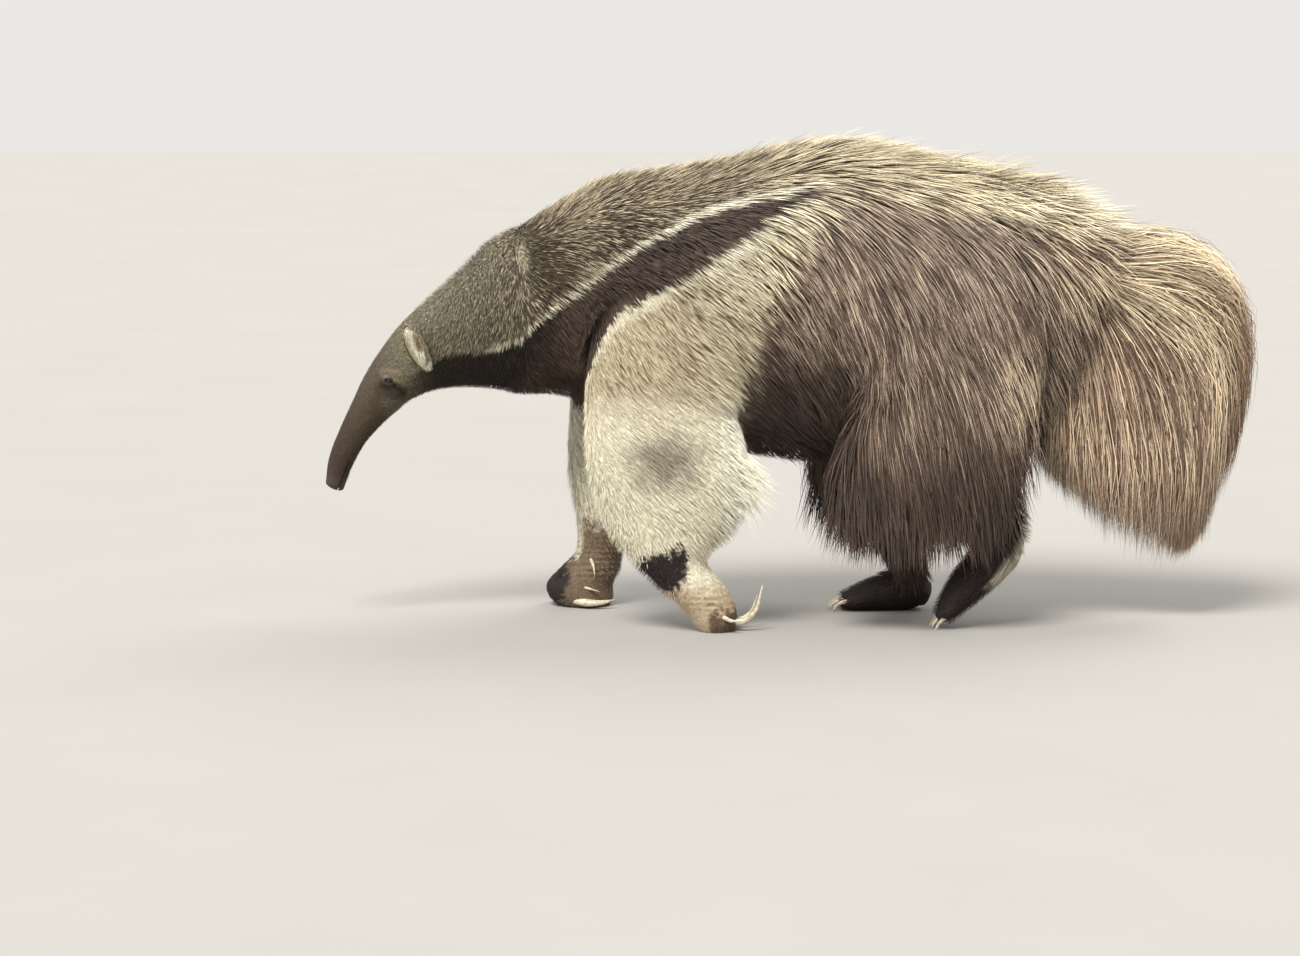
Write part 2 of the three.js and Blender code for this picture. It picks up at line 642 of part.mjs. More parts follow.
// Hanging from the tail's core out to the surface of the brush. The depth is 1 for the
// outermost curtain and 0 for hair at the middle; each leans a little to the rear.
const TAIL_LEAN = 0.17;
function tailHangLock(kind, side, place, depth, layer) {
  const points = [];
  const normals = [];
  const at = between(TAIL_CORE, place);
  const root = point(at.x, 0, at.z - at.deep * (0.85 - 0.75 * depth));
  const drop = root.z - brushBottom(root.x + 40) + vary(12) - 16 * (1 - depth);
  const rootY = at.wide * Math.min(0.97, 0.55 + 0.5 * depth);
  const bend = vary(13);
  for (const reach of reachesOf(kind, drop)) {
    const t = reach / drop;
    const z = root.z - reach;
    const x = root.x + reach * TAIL_LEAN * depth + 14 * t * t + bend * Math.sin(Math.PI * t);
    const brush = between(TAIL_BRUSH, placeAt(TAIL_BRUSH, 'z', Math.max(z, 106)));
    const off = Math.min(Math.abs((x - brush.x) / brush.long), 0.9);
    const outer = (brush.wide * Math.sqrt(1 - off * off) - kind.lift + layer) * depth;
    const ease = Math.min(1, t * 1.8);
    const inside = rootY - kind.sink * Math.max(0, 1 - 4 * t) * depth;
    points.push(point(x, side * (inside * (1 - ease) + outer * ease), z));
    normals.push(point(0, side, 0));
  }
  return { points, normals, ...varied(kind) };
}

// Neck and trunk

// Low on the flank no lock starts behind this x, where the thigh covers it
const THIGH_FRONT = 60;
const NECK_STARTS = HEAD_ENDS + 0.008;
const neckLocks = [];
const chestLocks = [];
const loinLocks = [];
for (const side of [-1, 1]) {
  neckLocks.push(trunkLock(LOCKS.mane, side, -402 + 14 * side, 0.24, 4, 0));
  neckLocks.push(trunkLock(LOCKS.mane, side, -340 + 10 * side, 0.2, 4, 0));
  for (const x of [-262, -186, -110]) {
    chestLocks.push(trunkLock(LOCKS.mane, side, x + vary(8), 0.2, 6, 0));
  }
  for (const [row, down] of [0.62, 1.0, 1.38].entries()) {
    const lie = 28 + 10 * down;
    chestLocks.push(trunkLock(LOCKS.shoulder, side, -106 + vary(8), down, lie, 4 * (row % 2)));
  }
  for (const [row, x] of [4, 90, 176, 262].entries()) {
    for (const [column, down] of [0.2, 0.62].entries()) {
      const start = x + vary(8) - 24 * column;
      loinLocks.push(trunkLock(LOCKS.back, side, start, down, 6 + 30 * down, 5 * ((row + column) % 2)));
    }
  }
  for (const [row, x] of [-2, 66, 134].entries()) {
    for (const [column, down] of [1.04, 1.44, 1.84].entries()) {
      const start = Math.max(x + vary(6) - 26 * column, LOINS_START + 8);
      if (start < THIGH_FRONT || column === 0) {
        loinLocks.push(trunkLock(LOCKS.flank, side, start, down, 56, 6 * ((row + column) % 2)));
      }
    }
  }
}
// The haunches over the thighs, and the rump behind them
for (const side of [-1, 1]) {
  for (const [row, [x, down]] of [[212, 0.98], [282, 1.0], [232, 1.3], [292, 1.4]].entries()) {
    loinLocks.push(trunkLock(LOCKS.flank, side, x + vary(6), down, 50, 5 * (row % 2)));
  }
  for (const [out, z] of [[62, 466], [88, 520]]) {
    loinLocks.push(freeLock(LOCKS.rump, point(398, side * out, z), 68, point(0.7, side * 0.7, 0.2)));
  }
}
const neckCore = (grow) => headLoft(NECK_STARTS, NECK_ENDS, 6, grow);
const neck = (grow) => fuse([neckCore(grow), ...neckLocks.map((one) => lock(one, grow))]);
const chestCore = (grow) => trunkLoft(CHEST_STARTS + GAP - grow, LOINS_START + grow, 5, grow);
const loinCore = (grow) => trunkLoft(LOINS_START + GAP - grow, RUMP_ENDS + grow, 9, grow);
const chest = (grow) => fuse([chestCore(grow), ...chestLocks.map((one) => lock(one, grow))]);
const loins = (grow) => fuse([loinCore(grow), ...loinLocks.map((one) => lock(one, grow))]);
const neckKeepOut = neck(GAP);
const chestKeepOut = chest(GAP);
const loinsKeepOut = loins(GAP);
addNode('neck', neck(0), HEAD_COLOR, FUR_ROUGHNESS);
addNode('torso_front', chest(0).subtract(neckKeepOut), TORSO_COLOR, FUR_ROUGHNESS);
addNode('torso_rear', loins(0).subtract(chestKeepOut), TORSO_COLOR, FUR_ROUGHNESS);
const bodyKeepOut = neckKeepOut.add(chestKeepOut).add(loinsKeepOut);

// Forelegs, paws and their claws

for (const [name, stations] of [['left', FORELEG_LEFT], ['right', FORELEG_RIGHT]]) {
  const side = SIDES[name];
  const tuft = (z, out, lie) => {
    const at = between(stations, placeAt(stations, 'z', z));
    const root = point(at.x + at.long * 0.88, at.y + side * out, z);
    return freeLock(LOCKS.elbow, root, lie, point(0, side, 0));
  };
  const upperLocks = [tuft(318, 10, 48), tuft(286, -6, 34)];
  const lowerLocks = [tuft(238, 12, 42), tuft(214, -8, 50), tuft(186, 6, 60)];
  const upper = (grow) =>
    fuse([legLoft(stations, ELBOW + GAP - grow, 555, 7, grow), ...upperLocks.map((one) => lock(one, grow))]);
  const lower = (grow) =>
    fuse([legLoft(stations, WRIST + GAP - grow, ELBOW, 5, grow), ...lowerLocks.map((one) => lock(one, grow))]);
  addNode(`foreleg_${name}_upper`, upper(0).subtract(bodyKeepOut), PALE_COLOR, FUR_ROUGHNESS);
  const lowerSolid = lower(0).subtract(bodyKeepOut).subtract(upper(GAP));
  addNode(`foreleg_${name}_lower`, lowerSolid, PALE_COLOR, FUR_ROUGHNESS);
  let paw = legLoft(stations, FLOOR, WRIST, 5).subtract(lower(GAP));
  for (const { name: digit, path, thick } of FORE_CLAWS[name]) {
    addNode(`foreclaw_${name}_${digit}`, claw(path, thick, 0), CLAW_COLOR, 0.4);
    paw = paw.subtract(claw(path, thick, GAP));
  }
  addNode(`forepaw_${name}`, paw, DARK_COLOR, FUR_ROUGHNESS);
}

// Hind legs, feet and their claws

const farThigh = THIGH_LEFT.map((at) => ({ ...at, x: at.x + FAR_THIGH_FORWARD, y: -at.y }));
let thighsKeepOut = null;
for (const [name, thigh, shank, foot] of [
  ['left', THIGH_LEFT, SHANK_LEFT, FOOT_LEFT],
  ['right', farThigh, SHANK_RIGHT, FOOT_RIGHT],
]) {
  const side = SIDES[name];
  const thighLocks = [];
  for (const [row, z] of [462, 376, 290, 222].entries()) {
    const at = between(thigh, placeAt(thigh, 'z', z));
    for (const [column, share] of [-0.8, -0.27, 0.27, 0.78].entries()) {
      const x = at.x + (at.long - THIGH_COAT / 2) * (share - 0.16 * (row % 2));
      const lie = 62 + 10 * row + vary(4);
      const layer = 6 * ((row + column) % 2);
      const level = z + vary(8);
      thighLocks.push(
        legLock(LOCKS.thigh, thigh, side, x, level, lie, KNEE_BOTTOM, THIGH_COAT / 2, layer),
      );
    }
  }
  const footKeepOut = pathLoft(foot, 7, 12, GAP);
  const inset = (grow) => thigh.map((at) => ({
    ...at, long: at.long - THIGH_COAT / 2 + grow, wide: at.wide - THIGH_COAT / 2 + grow,
  }));
  const thighWhole = (grow) => fuse([
    legLoft(inset(grow), KNEE_BOTTOM - grow, THIGH_TOP, 7, 0, 12),
    ...thighLocks.map((one) => lock(one, grow)),
  ]);
  const thighKeepOut = thighWhole(GAP);
  const thighSolid = thighWhole(0).subtract(bodyKeepOut).subtract(footKeepOut);
  addNode(`hind_leg_${name}_thigh`, thighSolid, DARK_COLOR, FUR_ROUGHNESS);
  thighsKeepOut = thighsKeepOut ? thighsKeepOut.add(thighKeepOut) : thighKeepOut;
  const shankWhole = pathLoft(shank, 5, 10).subtract(bodyKeepOut);
  const shankSolid = shankWhole.subtract(thighKeepOut).subtract(footKeepOut);
  addNode(`hind_leg_${name}_shank`, shankSolid, DARK_COLOR, FUR_ROUGHNESS);
  let footSolid = aboveFloor(pathLoft(foot, 7, 12));
  const { middle, spread, path, thick } = HIND_CLAWS[name];
  for (let toe = 0; toe < TOES; toe += 1) {
    const reach = (toe / (TOES - 1)) * 2 - 1;
    const y = middle + spread * reach;
    const bent = path.map(([x, z]) => [x + 7 * reach * reach, y, z]);
    addNode(`hindclaw_${name}_${toe + 1}`, aboveFloor(claw(bent, thick, 0)), CLAW_COLOR, 0.4);
    footSolid = footSolid.subtract(claw(bent, thick, GAP));
  }
  addNode(`hind_foot_${name}`, footSolid, DARK_COLOR, FUR_ROUGHNESS);
}

// Tail, in three lengths, each with the locks that grow from it

let tailKeepOut = bodyKeepOut.add(thighsKeepOut);
for (const [name, { from, to, back, hang, inner }] of Object.entries(TAIL_PARTS)) {
  const atEnd = to === TAIL_CORE.length - 1;
  const stations = (grow) => steps(
    from + GAP / 60 - grow / 60, atEnd ? to : to + grow / 60, 6,
  ).map((place) => between(TAIL_CORE, place));
  const tailLocks = [];
  for (const place of back) {
    for (const turn of TAIL_TURNS) {
      const layer = turn === 0 ? 5 : 0;
      tailLocks.push(tailBackLock(LOCKS.tailBack, place + vary(0.06), turn + vary(0.06), layer));
    }
  }
  for (const side of [-1, 1]) {
    for (const [row, place] of hang.entries()) {
      tailLocks.push(tailHangLock(LOCKS.tailHang, side, place + vary(0.06), 1, 8 * (row % 2)));
    }
    for (const place of inner) {
      tailLocks.push(tailHangLock(LOCKS.tailHang, side, place, 0.45, 0));
    }
  }
  const length = (grow) => fuse([
    pathLoft(stations(grow), 6, 12, grow), ...tailLocks.map((one) => lock(one, grow)),
  ]);
  addNode(name, length(0).subtract(tailKeepOut), TAIL_COLOR, FUR_ROUGHNESS);
  tailKeepOut = tailKeepOut.add(length(GAP));
}

// The origin is the middle of the whole animal's footprint.
const extent = new THREE.Box3().setFromObject(model);
const middle = extent.getCenter(new THREE.Vector3());
model.position.set(-middle.x, -middle.y, -extent.min.z);

export default model;
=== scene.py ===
import math

import bmesh
import bpy
import numpy as np
from mathutils import Matrix, Vector
from mathutils.bvhtree import BVHTree
from mathutils.kdtree import KDTree


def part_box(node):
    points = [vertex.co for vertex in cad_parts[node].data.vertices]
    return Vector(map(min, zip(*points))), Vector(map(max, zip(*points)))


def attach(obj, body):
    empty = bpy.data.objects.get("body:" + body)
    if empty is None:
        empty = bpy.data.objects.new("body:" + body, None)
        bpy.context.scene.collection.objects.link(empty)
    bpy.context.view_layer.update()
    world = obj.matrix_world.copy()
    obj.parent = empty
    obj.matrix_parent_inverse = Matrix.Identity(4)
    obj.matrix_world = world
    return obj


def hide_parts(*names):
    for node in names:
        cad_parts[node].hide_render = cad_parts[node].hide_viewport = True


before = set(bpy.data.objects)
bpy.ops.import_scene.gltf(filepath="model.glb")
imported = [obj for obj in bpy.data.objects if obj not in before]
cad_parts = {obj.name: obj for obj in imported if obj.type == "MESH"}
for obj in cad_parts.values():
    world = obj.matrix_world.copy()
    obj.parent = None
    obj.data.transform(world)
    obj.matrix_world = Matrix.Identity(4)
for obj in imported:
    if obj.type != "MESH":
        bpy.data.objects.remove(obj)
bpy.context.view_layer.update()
rng = np.random.default_rng(11)

# Head and neck from the snout's tip to the shoulders. Each row gives a section's x and z,
# its forward lean in degrees, its half depth and half width, and the depth of the coat there.
HEAD_AND_NECK = [
    (-0.679, 0.201, 68, 0.0150, 0.0140, 0.0006),
    (-0.670, 0.236, 67, 0.0190, 0.0170, 0.0008),
    (-0.652, 0.2745, 63, 0.0220, 0.0195, 0.0010),
    (-0.6305, 0.308, 55, 0.0280, 0.0235, 0.0014),
    (-0.609, 0.339, 45, 0.0365, 0.0290, 0.0022),
    (-0.586, 0.367, 34, 0.0450, 0.0360, 0.0036),
    (-0.554, 0.395, 24, 0.0590, 0.0430, 0.0055),
    (-0.518, 0.416, 15, 0.0730, 0.0510, 0.0070),
    (-0.477, 0.437, 8, 0.0920, 0.0610, 0.0085),
    (-0.438, 0.458, 3, 0.1150, 0.0740, 0.0100),
    (-0.398, 0.466, 0, 0.1300, 0.0880, 0.0120),
    (-0.350, 0.479, 0, 0.1430, 0.1030, 0.0140),
    (-0.310, 0.484, 0, 0.1600, 0.1160, 0.0160),
]
# Trunk: x, top, bottom and half width of the section out to the hair tips, and the coat's depth.
TRUNK = [
    (-0.250, 0.671, 0.288, 0.132, 0.020),
    (-0.170, 0.682, 0.262, 0.143, 0.024),
    (-0.090, 0.697, 0.246, 0.151, 0.030),
    (-0.010, 0.716, 0.232, 0.158, 0.036),
    (0.060, 0.726, 0.224, 0.164, 0.040),
    (0.140, 0.718, 0.222, 0.168, 0.042),
    (0.220, 0.706, 0.230, 0.169, 0.042),
    (0.300, 0.686, 0.250, 0.160, 0.042),
    (0.360, 0.661, 0.300, 0.138, 0.040),
    (0.405, 0.628, 0.376, 0.104, 0.034),
    (0.434, 0.592, 0.446, 0.062, 0.022),
]
# Legs as level sections from top to bottom: z, x, y, half length, half width and the coat.
FORELEG_LEFT = [
    (0.560, -0.205, -0.074, 0.060, 0.034, 0.016),
    (0.480, -0.200, -0.103, 0.092, 0.046, 0.014),
    (0.400, -0.196, -0.112, 0.108, 0.053, 0.011),
    (0.341, -0.194, -0.114, 0.114, 0.055, 0.010),
    (0.265, -0.184, -0.114, 0.122, 0.056, 0.011),
    (0.209, -0.178, -0.112, 0.114, 0.054, 0.010),
    (0.155, -0.180, -0.110, 0.092, 0.048, 0.007),
    (0.120, -0.181, -0.110, 0.066, 0.043, 0.005),
    (0.096, -0.171, -0.110, 0.054, 0.040, 0.004),
    (0.062, -0.140, -0.110, 0.050, 0.039, 0.003),
    (0.034, -0.119, -0.110, 0.042, 0.037, 0.003),
    (0.012, -0.110, -0.110, 0.034, 0.033, 0.002),
    (0.000, -0.108, -0.110, 0.026, 0.026, 0.001),
]
FORELEG_RIGHT = [
    (0.560, -0.208, 0.074, 0.060, 0.034, 0.016),
    (0.480, -0.208, 0.103, 0.092, 0.046, 0.014),
    (0.400, -0.214, 0.112, 0.108, 0.053, 0.011),
    (0.309, -0.226, 0.114, 0.108, 0.055, 0.010),
    (0.253, -0.235, 0.114, 0.102, 0.054, 0.010),
    (0.212, -0.248, 0.114, 0.088, 0.050, 0.009),
    (0.182, -0.257, 0.114, 0.072, 0.046, 0.007),
    (0.147, -0.264, 0.114, 0.058, 0.041, 0.005),
    (0.106, -0.277, 0.114, 0.041, 0.035, 0.003),
    (0.082, -0.284, 0.114, 0.038, 0.035, 0.003),
    (0.060, -0.296, 0.114, 0.046, 0.039, 0.003),
    (0.034, -0.313, 0.114, 0.053, 0.043, 0.003),
    (0.012, -0.311, 0.114, 0.050, 0.041, 0.002),
    (0.000, -0.306, 0.114, 0.038, 0.032, 0.001),
]
THIGH_LEFT = [
    (0.600, 0.285, -0.066, 0.060, 0.040, 0.024),
    (0.530, 0.275, -0.098, 0.100, 0.050, 0.036),
    (0.450, 0.262, -0.126, 0.118, 0.058, 0.036),
    (0.370, 0.238, -0.131, 0.138, 0.062, 0.036),
    (0.300, 0.208, -0.131, 0.150, 0.062, 0.036),
    (0.242, 0.190, -0.129, 0.154, 0.059, 0.036),
    (0.202, 0.191, -0.126, 0.142, 0.054, 0.034),
    (0.168, 0.196, -0.122, 0.116, 0.047, 0.030),
]
FAR_THIGH_FORWARD = -0.022
# Shank, foot and tail run along a path: x, y, z, half depth, half width and the coat.
SHANK_LEFT = [
    (0.150, -0.108, 0.262, 0.054, 0.042, 0.012),
    (0.222, -0.098, 0.208, 0.052, 0.040, 0.012),
    (0.280, -0.090, 0.172, 0.042, 0.035, 0.009),
    (0.322, -0.086, 0.146, 0.030, 0.029, 0.006),
    (0.334, -0.085, 0.137, 0.018, 0.020, 0.004),
]
FOOT_LEFT = [
    (0.334, -0.084, 0.136, 0.022, 0.024, 0.004),
    (0.312, -0.084, 0.112, 0.034, 0.031, 0.005),
    (0.282, -0.083, 0.082, 0.033, 0.035, 0.005),
    (0.254, -0.082, 0.050, 0.027, 0.038, 0.004),
    (0.236, -0.082, 0.027, 0.019, 0.036, 0.003),
    (0.227, -0.082, 0.016, 0.011, 0.028, 0.002),
]
SHANK_RIGHT = [
    (0.112, 0.100, 0.262, 0.050, 0.042, 0.012),
    (0.138, 0.092, 0.200, 0.048, 0.040, 0.011),
    (0.164, 0.084, 0.140, 0.040, 0.035, 0.009),
    (0.182, 0.080, 0.092, 0.033, 0.031, 0.006),
    (0.192, 0.078, 0.050, 0.030, 0.030, 0.005),
]
FOOT_RIGHT = [
    (0.214, 0.076, 0.024, 0.022, 0.026, 0.003),
    (0.196, 0.076, 0.029, 0.031, 0.032, 0.004),
    (0.160, 0.076, 0.026, 0.030, 0.036, 0.004),
    (0.122, 0.076, 0.020, 0.023, 0.039, 0.004),
    (0.098, 0.076, 0.014, 0.016, 0.036, 0.003),
    (0.088, 0.076, 0.011, 0.009, 0.027, 0.002),
]
TAIL = [
    (0.352, 0, 0.500, 0.088, 0.064, 0.034),
    (0.400, 0, 0.508, 0.084, 0.062, 0.034),
    (0.452, 0, 0.512, 0.077, 0.060, 0.034),
    (0.512, 0, 0.502, 0.071, 0.058, 0.034),
    (0.563, 0, 0.468, 0.065, 0.055, 0.032),
    (0.594, 0, 0.414, 0.057, 0.050, 0.028),
    (0.605, 0, 0.350, 0.048, 0.044, 0.024),
    (0.605, 0, 0.288, 0.038, 0.036, 0.020),
    (0.600, 0, 0.236, 0.024, 0.024, 0.012),
]
# The middle of the tail's brush in side view.
TAIL_MIDDLE = (0.530, 0.360)
# The tail's outline out to the hair tips: x and z from the rump over the top and round.
TAIL_OUTLINE = [
    (0.409, 0.622), (0.479, 0.617), (0.559, 0.592), (0.623, 0.566), (0.668, 0.530),
    (0.689, 0.467), (0.687, 0.391), (0.673, 0.300), (0.649, 0.209), (0.617, 0.135),
    (0.589, 0.113), (0.548, 0.105), (0.518, 0.114), (0.484, 0.138), (0.434, 0.189),
    (0.371, 0.244), (0.330, 0.400), (0.345, 0.560),
]
# How round the brush looks along x, y and z when the light falls on it.
TAIL_FORM = (0.022, 0.009, 0.050)
# Degrees below level that its hair points in side view, at each level: front, middle and rear.
FLOW_LEVELS = (0.10, 0.20, 0.30, 0.40, 0.45, 0.50, 0.55, 0.60)
FLOW_FRONT = (84, 86, 90, 89, 80, 58, 36, 24)
FLOW_MIDDLE = (92, 86, 80, 70, 58, 44, 30, 18)
FLOW_REAR = (104, 104, 100, 96, 90, 76, 54, 34)
# The tail's hair is followed in steps of this length, this many times.
TAIL_STEP = 0.02
TAIL_STEPS = 24
# Half width of the tail's hair at each level.
TAIL_WIDTHS = [
    (0.104, 0.020), (0.160, 0.052), (0.240, 0.078), (0.350, 0.098), (0.430, 0.102),
    (0.500, 0.094), (0.550, 0.082), (0.600, 0.062), (0.640, 0.030),
]

EYE = {"x": -0.594, "y": 0.0275, "z": 0.3625, "radius": 0.0075}
# Ears: middle, half sizes and wall, and how far they lean back and turn out, in degrees.
EAR = {
    "x": -0.552, "y": 0.048, "z": 0.415, "long": 0.033, "wide": 0.016, "out": 0.014,
    "wall": 0.0024, "tilt": 25, "turn": 50,
}
# As shares of the ear's depth: where the cup opens, and the hollow's middle and half depth.
CUP_OPENS = 0.28
HOLLOW_MIDDLE = 0.30
HOLLOW_DEEP = 0.46
MOUTH = {"long": 0.046, "gap": 0.0012, "deep": 0.004}
NOSTRIL = {"apart": 0.0085, "tall": 0.0034, "wide": 0.0022}

# Claws: points along the middle of each from its root, and its thickness at the root.
FORE_CLAWS = {
    "left": {
        "thumb": ([(-0.104, -0.086, 0.040), (-0.092, -0.080, 0.032), (-0.082, -0.079, 0.022)], 0.007),
        "second": ([(-0.108, -0.096, 0.024), (-0.078, -0.094, 0.013), (-0.057, -0.094, 0.024),
                    (-0.047, -0.095, 0.050)], 0.010),
        "third": ([(-0.106, -0.116, 0.024), (-0.074, -0.118, 0.013), (-0.050, -0.121, 0.031),
                   (-0.040, -0.124, 0.070)], 0.013),
        "fourth": ([(-0.108, -0.134, 0.030), (-0.088, -0.142, 0.020), (-0.074, -0.145, 0.020)], 0.008),
    },
    "right": {
        "thumb": ([(-0.298, 0.088, 0.078), (-0.292, 0.075, 0.066), (-0.290, 0.070, 0.050)], 0.007),
        "second": ([(-0.326, 0.088, 0.038), (-0.302, 0.075, 0.032), (-0.283, 0.072, 0.027)], 0.008),
        "third": ([(-0.332, 0.092, 0.016), (-0.306, 0.075, 0.010), (-0.282, 0.071, 0.010),
                   (-0.260, 0.073, 0.014)], 0.017),
        "fourth": ([(-0.344, 0.132, 0.022), (-0.352, 0.146, 0.014), (-0.346, 0.156, 0.006)], 0.008),
    },
}
TOES = 5
# Hind claws of one foot: y of the middle one, how far the outer ones lie from it, and the
# path of each in side view.
HIND_CLAWS = {
    "left": {"middle": -0.082, "spread": 0.025,
             "path": [(0.240, 0.028), (0.224, 0.018), (0.214, 0.008), (0.209, -0.002)]},
    "right": {"middle": 0.076, "spread": 0.027,
              "path": [(0.100, 0.016), (0.082, 0.015), (0.070, 0.009), (0.064, -0.002)]},
}
HIND_CLAW_THICK = 0.008
# The outer claws start this far behind the middle one.
CLAW_SPREAD_BACK = 0.007

SIDES = {"left": -1, "right": 1}

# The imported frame's origin, found from the near eye.
eye_low, eye_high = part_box("eye_left")
SHIFT = np.array((eye_low + eye_high) / 2) - np.array((EYE["x"], -EYE["y"], EYE["z"]))


# Small helpers for arrays of points

def unit(vectors):
    lengths = np.linalg.norm(vectors, axis=-1, keepdims=True)
    return vectors / np.maximum(lengths, 1e-9)


def dot(a, b):
    return np.sum(a * b, axis=-1, keepdims=True)


def ramp(start, end, values):
    """0 below start and 1 above end, with a smooth rise between."""
    t = np.clip((values - start) / (end - start), 0, 1)
    return t * t * (3 - 2 * t)


def mix(a, b, share):
    """From one colour or direction to another, by a share for each point."""
    share = np.asarray(share)
    if share.ndim == 1:
        share = share[:, None]
    return a + (b - a) * share


def blend(a, b, share):
    """The same for plain numbers."""
    return a + (b - a) * share


def linear(red, green, blue):
    """A colour as seen on screen, 0 to 255, as linear light."""
    screen = np.array((red, green, blue)) / 255
    return np.where(screen <= 0.04045, screen / 12.92, ((screen + 0.055) / 1.055) ** 2.4)


def waves(points, scale, turn):
    """Soft repeatable variation from -1 to 1 over a distance of about scale."""
    x, y, z = (points / scale).T
    first = np.sin(2.1 * x + 1.3 * z + turn) + np.sin(1.7 * z - 1.1 * y + 2.3 * turn)
    second = np.sin(3.3 * y + 2.7 * x - 1.9 * z + 0.7 * turn)
    return (first + second) / 3


def near_segment(x, z, start, end):
    """Distance in side view from a short line."""
    run = np.array(end) - start
    t = np.clip(((x - start[0]) * run[0] + (z - start[1]) * run[1]) / (run @ run), 0, 1)
    return np.hypot(x - start[0] - t * run[0], z - start[1] - t * run[1])


def near_face_line(x, z, start, end):
    """The same for a line given from the middle of the eye."""
    middle = np.array((EYE["x"], EYE["z"]))
    return near_segment(x, z, middle + start, middle + end)


def smooth_stations(stations, count):
    """Rows spaced evenly and smoothly through a short list of stations."""
    known = np.array(stations, float)
    last = len(known) - 1
    place = np.linspace(0, last, count)
    index = np.minimum(place.astype(int), last - 1)
    t = (place - index)[:, None]
    before = known[np.maximum(index - 1, 0)]
    start = known[index]
    end = known[index + 1]
    after = known[np.minimum(index + 2, last)]
    slope_start = (end - before) / np.where(index > 0, 2, 1)[:, None]
    slope_end = (after - start) / np.where(index + 2 <= last, 2, 1)[:, None]
    rise = end - start
    bend = 3 * rise - 2 * slope_start - slope_end
    pull = slope_start + slope_end - 2 * rise
    return start + t * (slope_start + t * (bend + t * pull))


# Limbs: rows of rings, each with a centre and two half axes

SKIN_DEPTH = 0.8


def limb(centres, across, up):
    return {"centres": centres + SHIFT, "across": across, "up": up}


def body_limb(rings):
    """Snout, head, neck and trunk as one tube."""
    rows = list(HEAD_AND_NECK)
    for x, top, bottom, half, coat in TRUNK:
        rows.append((x, (top + bottom) / 2, 0, (top - bottom) / 2, half, coat))
    x, z, lean, deep, wide, coat = smooth_stations(rows, rings).T
    lean = np.radians(lean)
    nothing = np.zeros(rings)
    inset = coat * SKIN_DEPTH
    up = np.stack((-np.sin(lean), nothing, np.cos(lean)), axis=1) * (deep - inset)[:, None]
    across = np.stack((nothing, wide - inset, nothing), axis=1)
    return limb(np.stack((x, nothing, z), axis=1), across, up)


def level_limb(stations, rings):
    """A leg made of level sections."""
    z, x, y, long, wide, coat = smooth_stations(stations, rings).T
    nothing = np.zeros(rings)
    inset = coat * SKIN_DEPTH
    along = np.stack((long - inset, nothing, nothing), axis=1)
    across = np.stack((nothing, wide - inset, nothing), axis=1)
    return limb(np.stack((x, y, z), axis=1), along, across)


def path_limb(stations, rings):
    """A tube whose sections are square to its path."""
    x, y, z, deep, wide, coat = smooth_stations(stations, rings).T
    centres = np.stack((x, y, z), axis=1)
    along = unit(np.gradient(centres, axis=0))
    sideways = np.array((0.0, 1.0, 0.0))
    across = unit(sideways - along * dot(along, sideways))
    up = np.cross(along, across)
    inset = (coat * SKIN_DEPTH)[:, None]
    return limb(centres, across * (wide[:, None] - inset), up * (deep[:, None] - inset))


def mirrored(stations, forward):
    return [(z, x + forward, -y, long, wide, coat) for z, x, y, long, wide, coat in stations]


LIMBS = {
    "body": body_limb(340),
    "foreleg_left": level_limb(FORELEG_LEFT, 150),
    "foreleg_right": level_limb(FORELEG_RIGHT, 150),
    "thigh_left": level_limb(THIGH_LEFT, 50),
    "thigh_right": level_limb(mirrored(THIGH_LEFT, FAR_THIGH_FORWARD), 50),
    "shank_left": path_limb(SHANK_LEFT, 40),
    "shank_right": path_limb(SHANK_RIGHT, 40),
    "foot_left": path_limb(FOOT_LEFT, 40),
    "foot_right": path_limb(FOOT_RIGHT, 40),
    "tail": path_limb(TAIL, 80),
}


def on_limb(part, place, turn):
    """Points and outward normals at fractional rings and turns round them."""
    index = np.clip(place.astype(int), 0, len(part["centres"]) - 2)
    t = (place - index)[:, None]
    centre = mix(part["centres"][index], part["centres"][index + 1], t)
    across = mix(part["across"][index], part["across"][index + 1], t)
    up = mix(part["up"][index], part["up"][index + 1], t)
    c = np.cos(turn)[:, None]
    s = np.sin(turn)[:, None]
    normals = unit(across / dot(across, across) * c + up / dot(up, up) * s)
    return centre + across * c + up * s, normals


# Skin

def ring_matrix(centre, across, up):
    """Places a unit circle as a ring with these half axes."""
    out = np.cross(across, up)
    rows = np.eye(4)
    rows[:3, 0] = across
    rows[:3, 1] = up
    rows[:3, 2] = out / max(np.linalg.norm(out), 1e-12)
    rows[:3, 3] = centre
    return Matrix(rows.tolist())


def rounded_rings(part, bulge):
    """The limb's rings, with a few shrinking ones that round off both ends."""
    rings = list(zip(part["centres"], part["across"], part["up"]))
    first, last = rings[0], rings[-1]
    ahead = unit(first[0] - rings[1][0])
    onward = unit(last[0] - rings[-2][0])
    caps_first = []
    caps_last = []
    for angle in np.radians((28, 52, 72, 84)):
        size = math.cos(angle)
        reach = bulge * math.sin(angle)
        caps_first.insert(0, (first[0] + ahead * reach, first[1] * size, first[2] * size))
        caps_last.append((last[0] + onward * reach, last[1] * size, last[2] * size))
    return caps_first + rings + caps_last


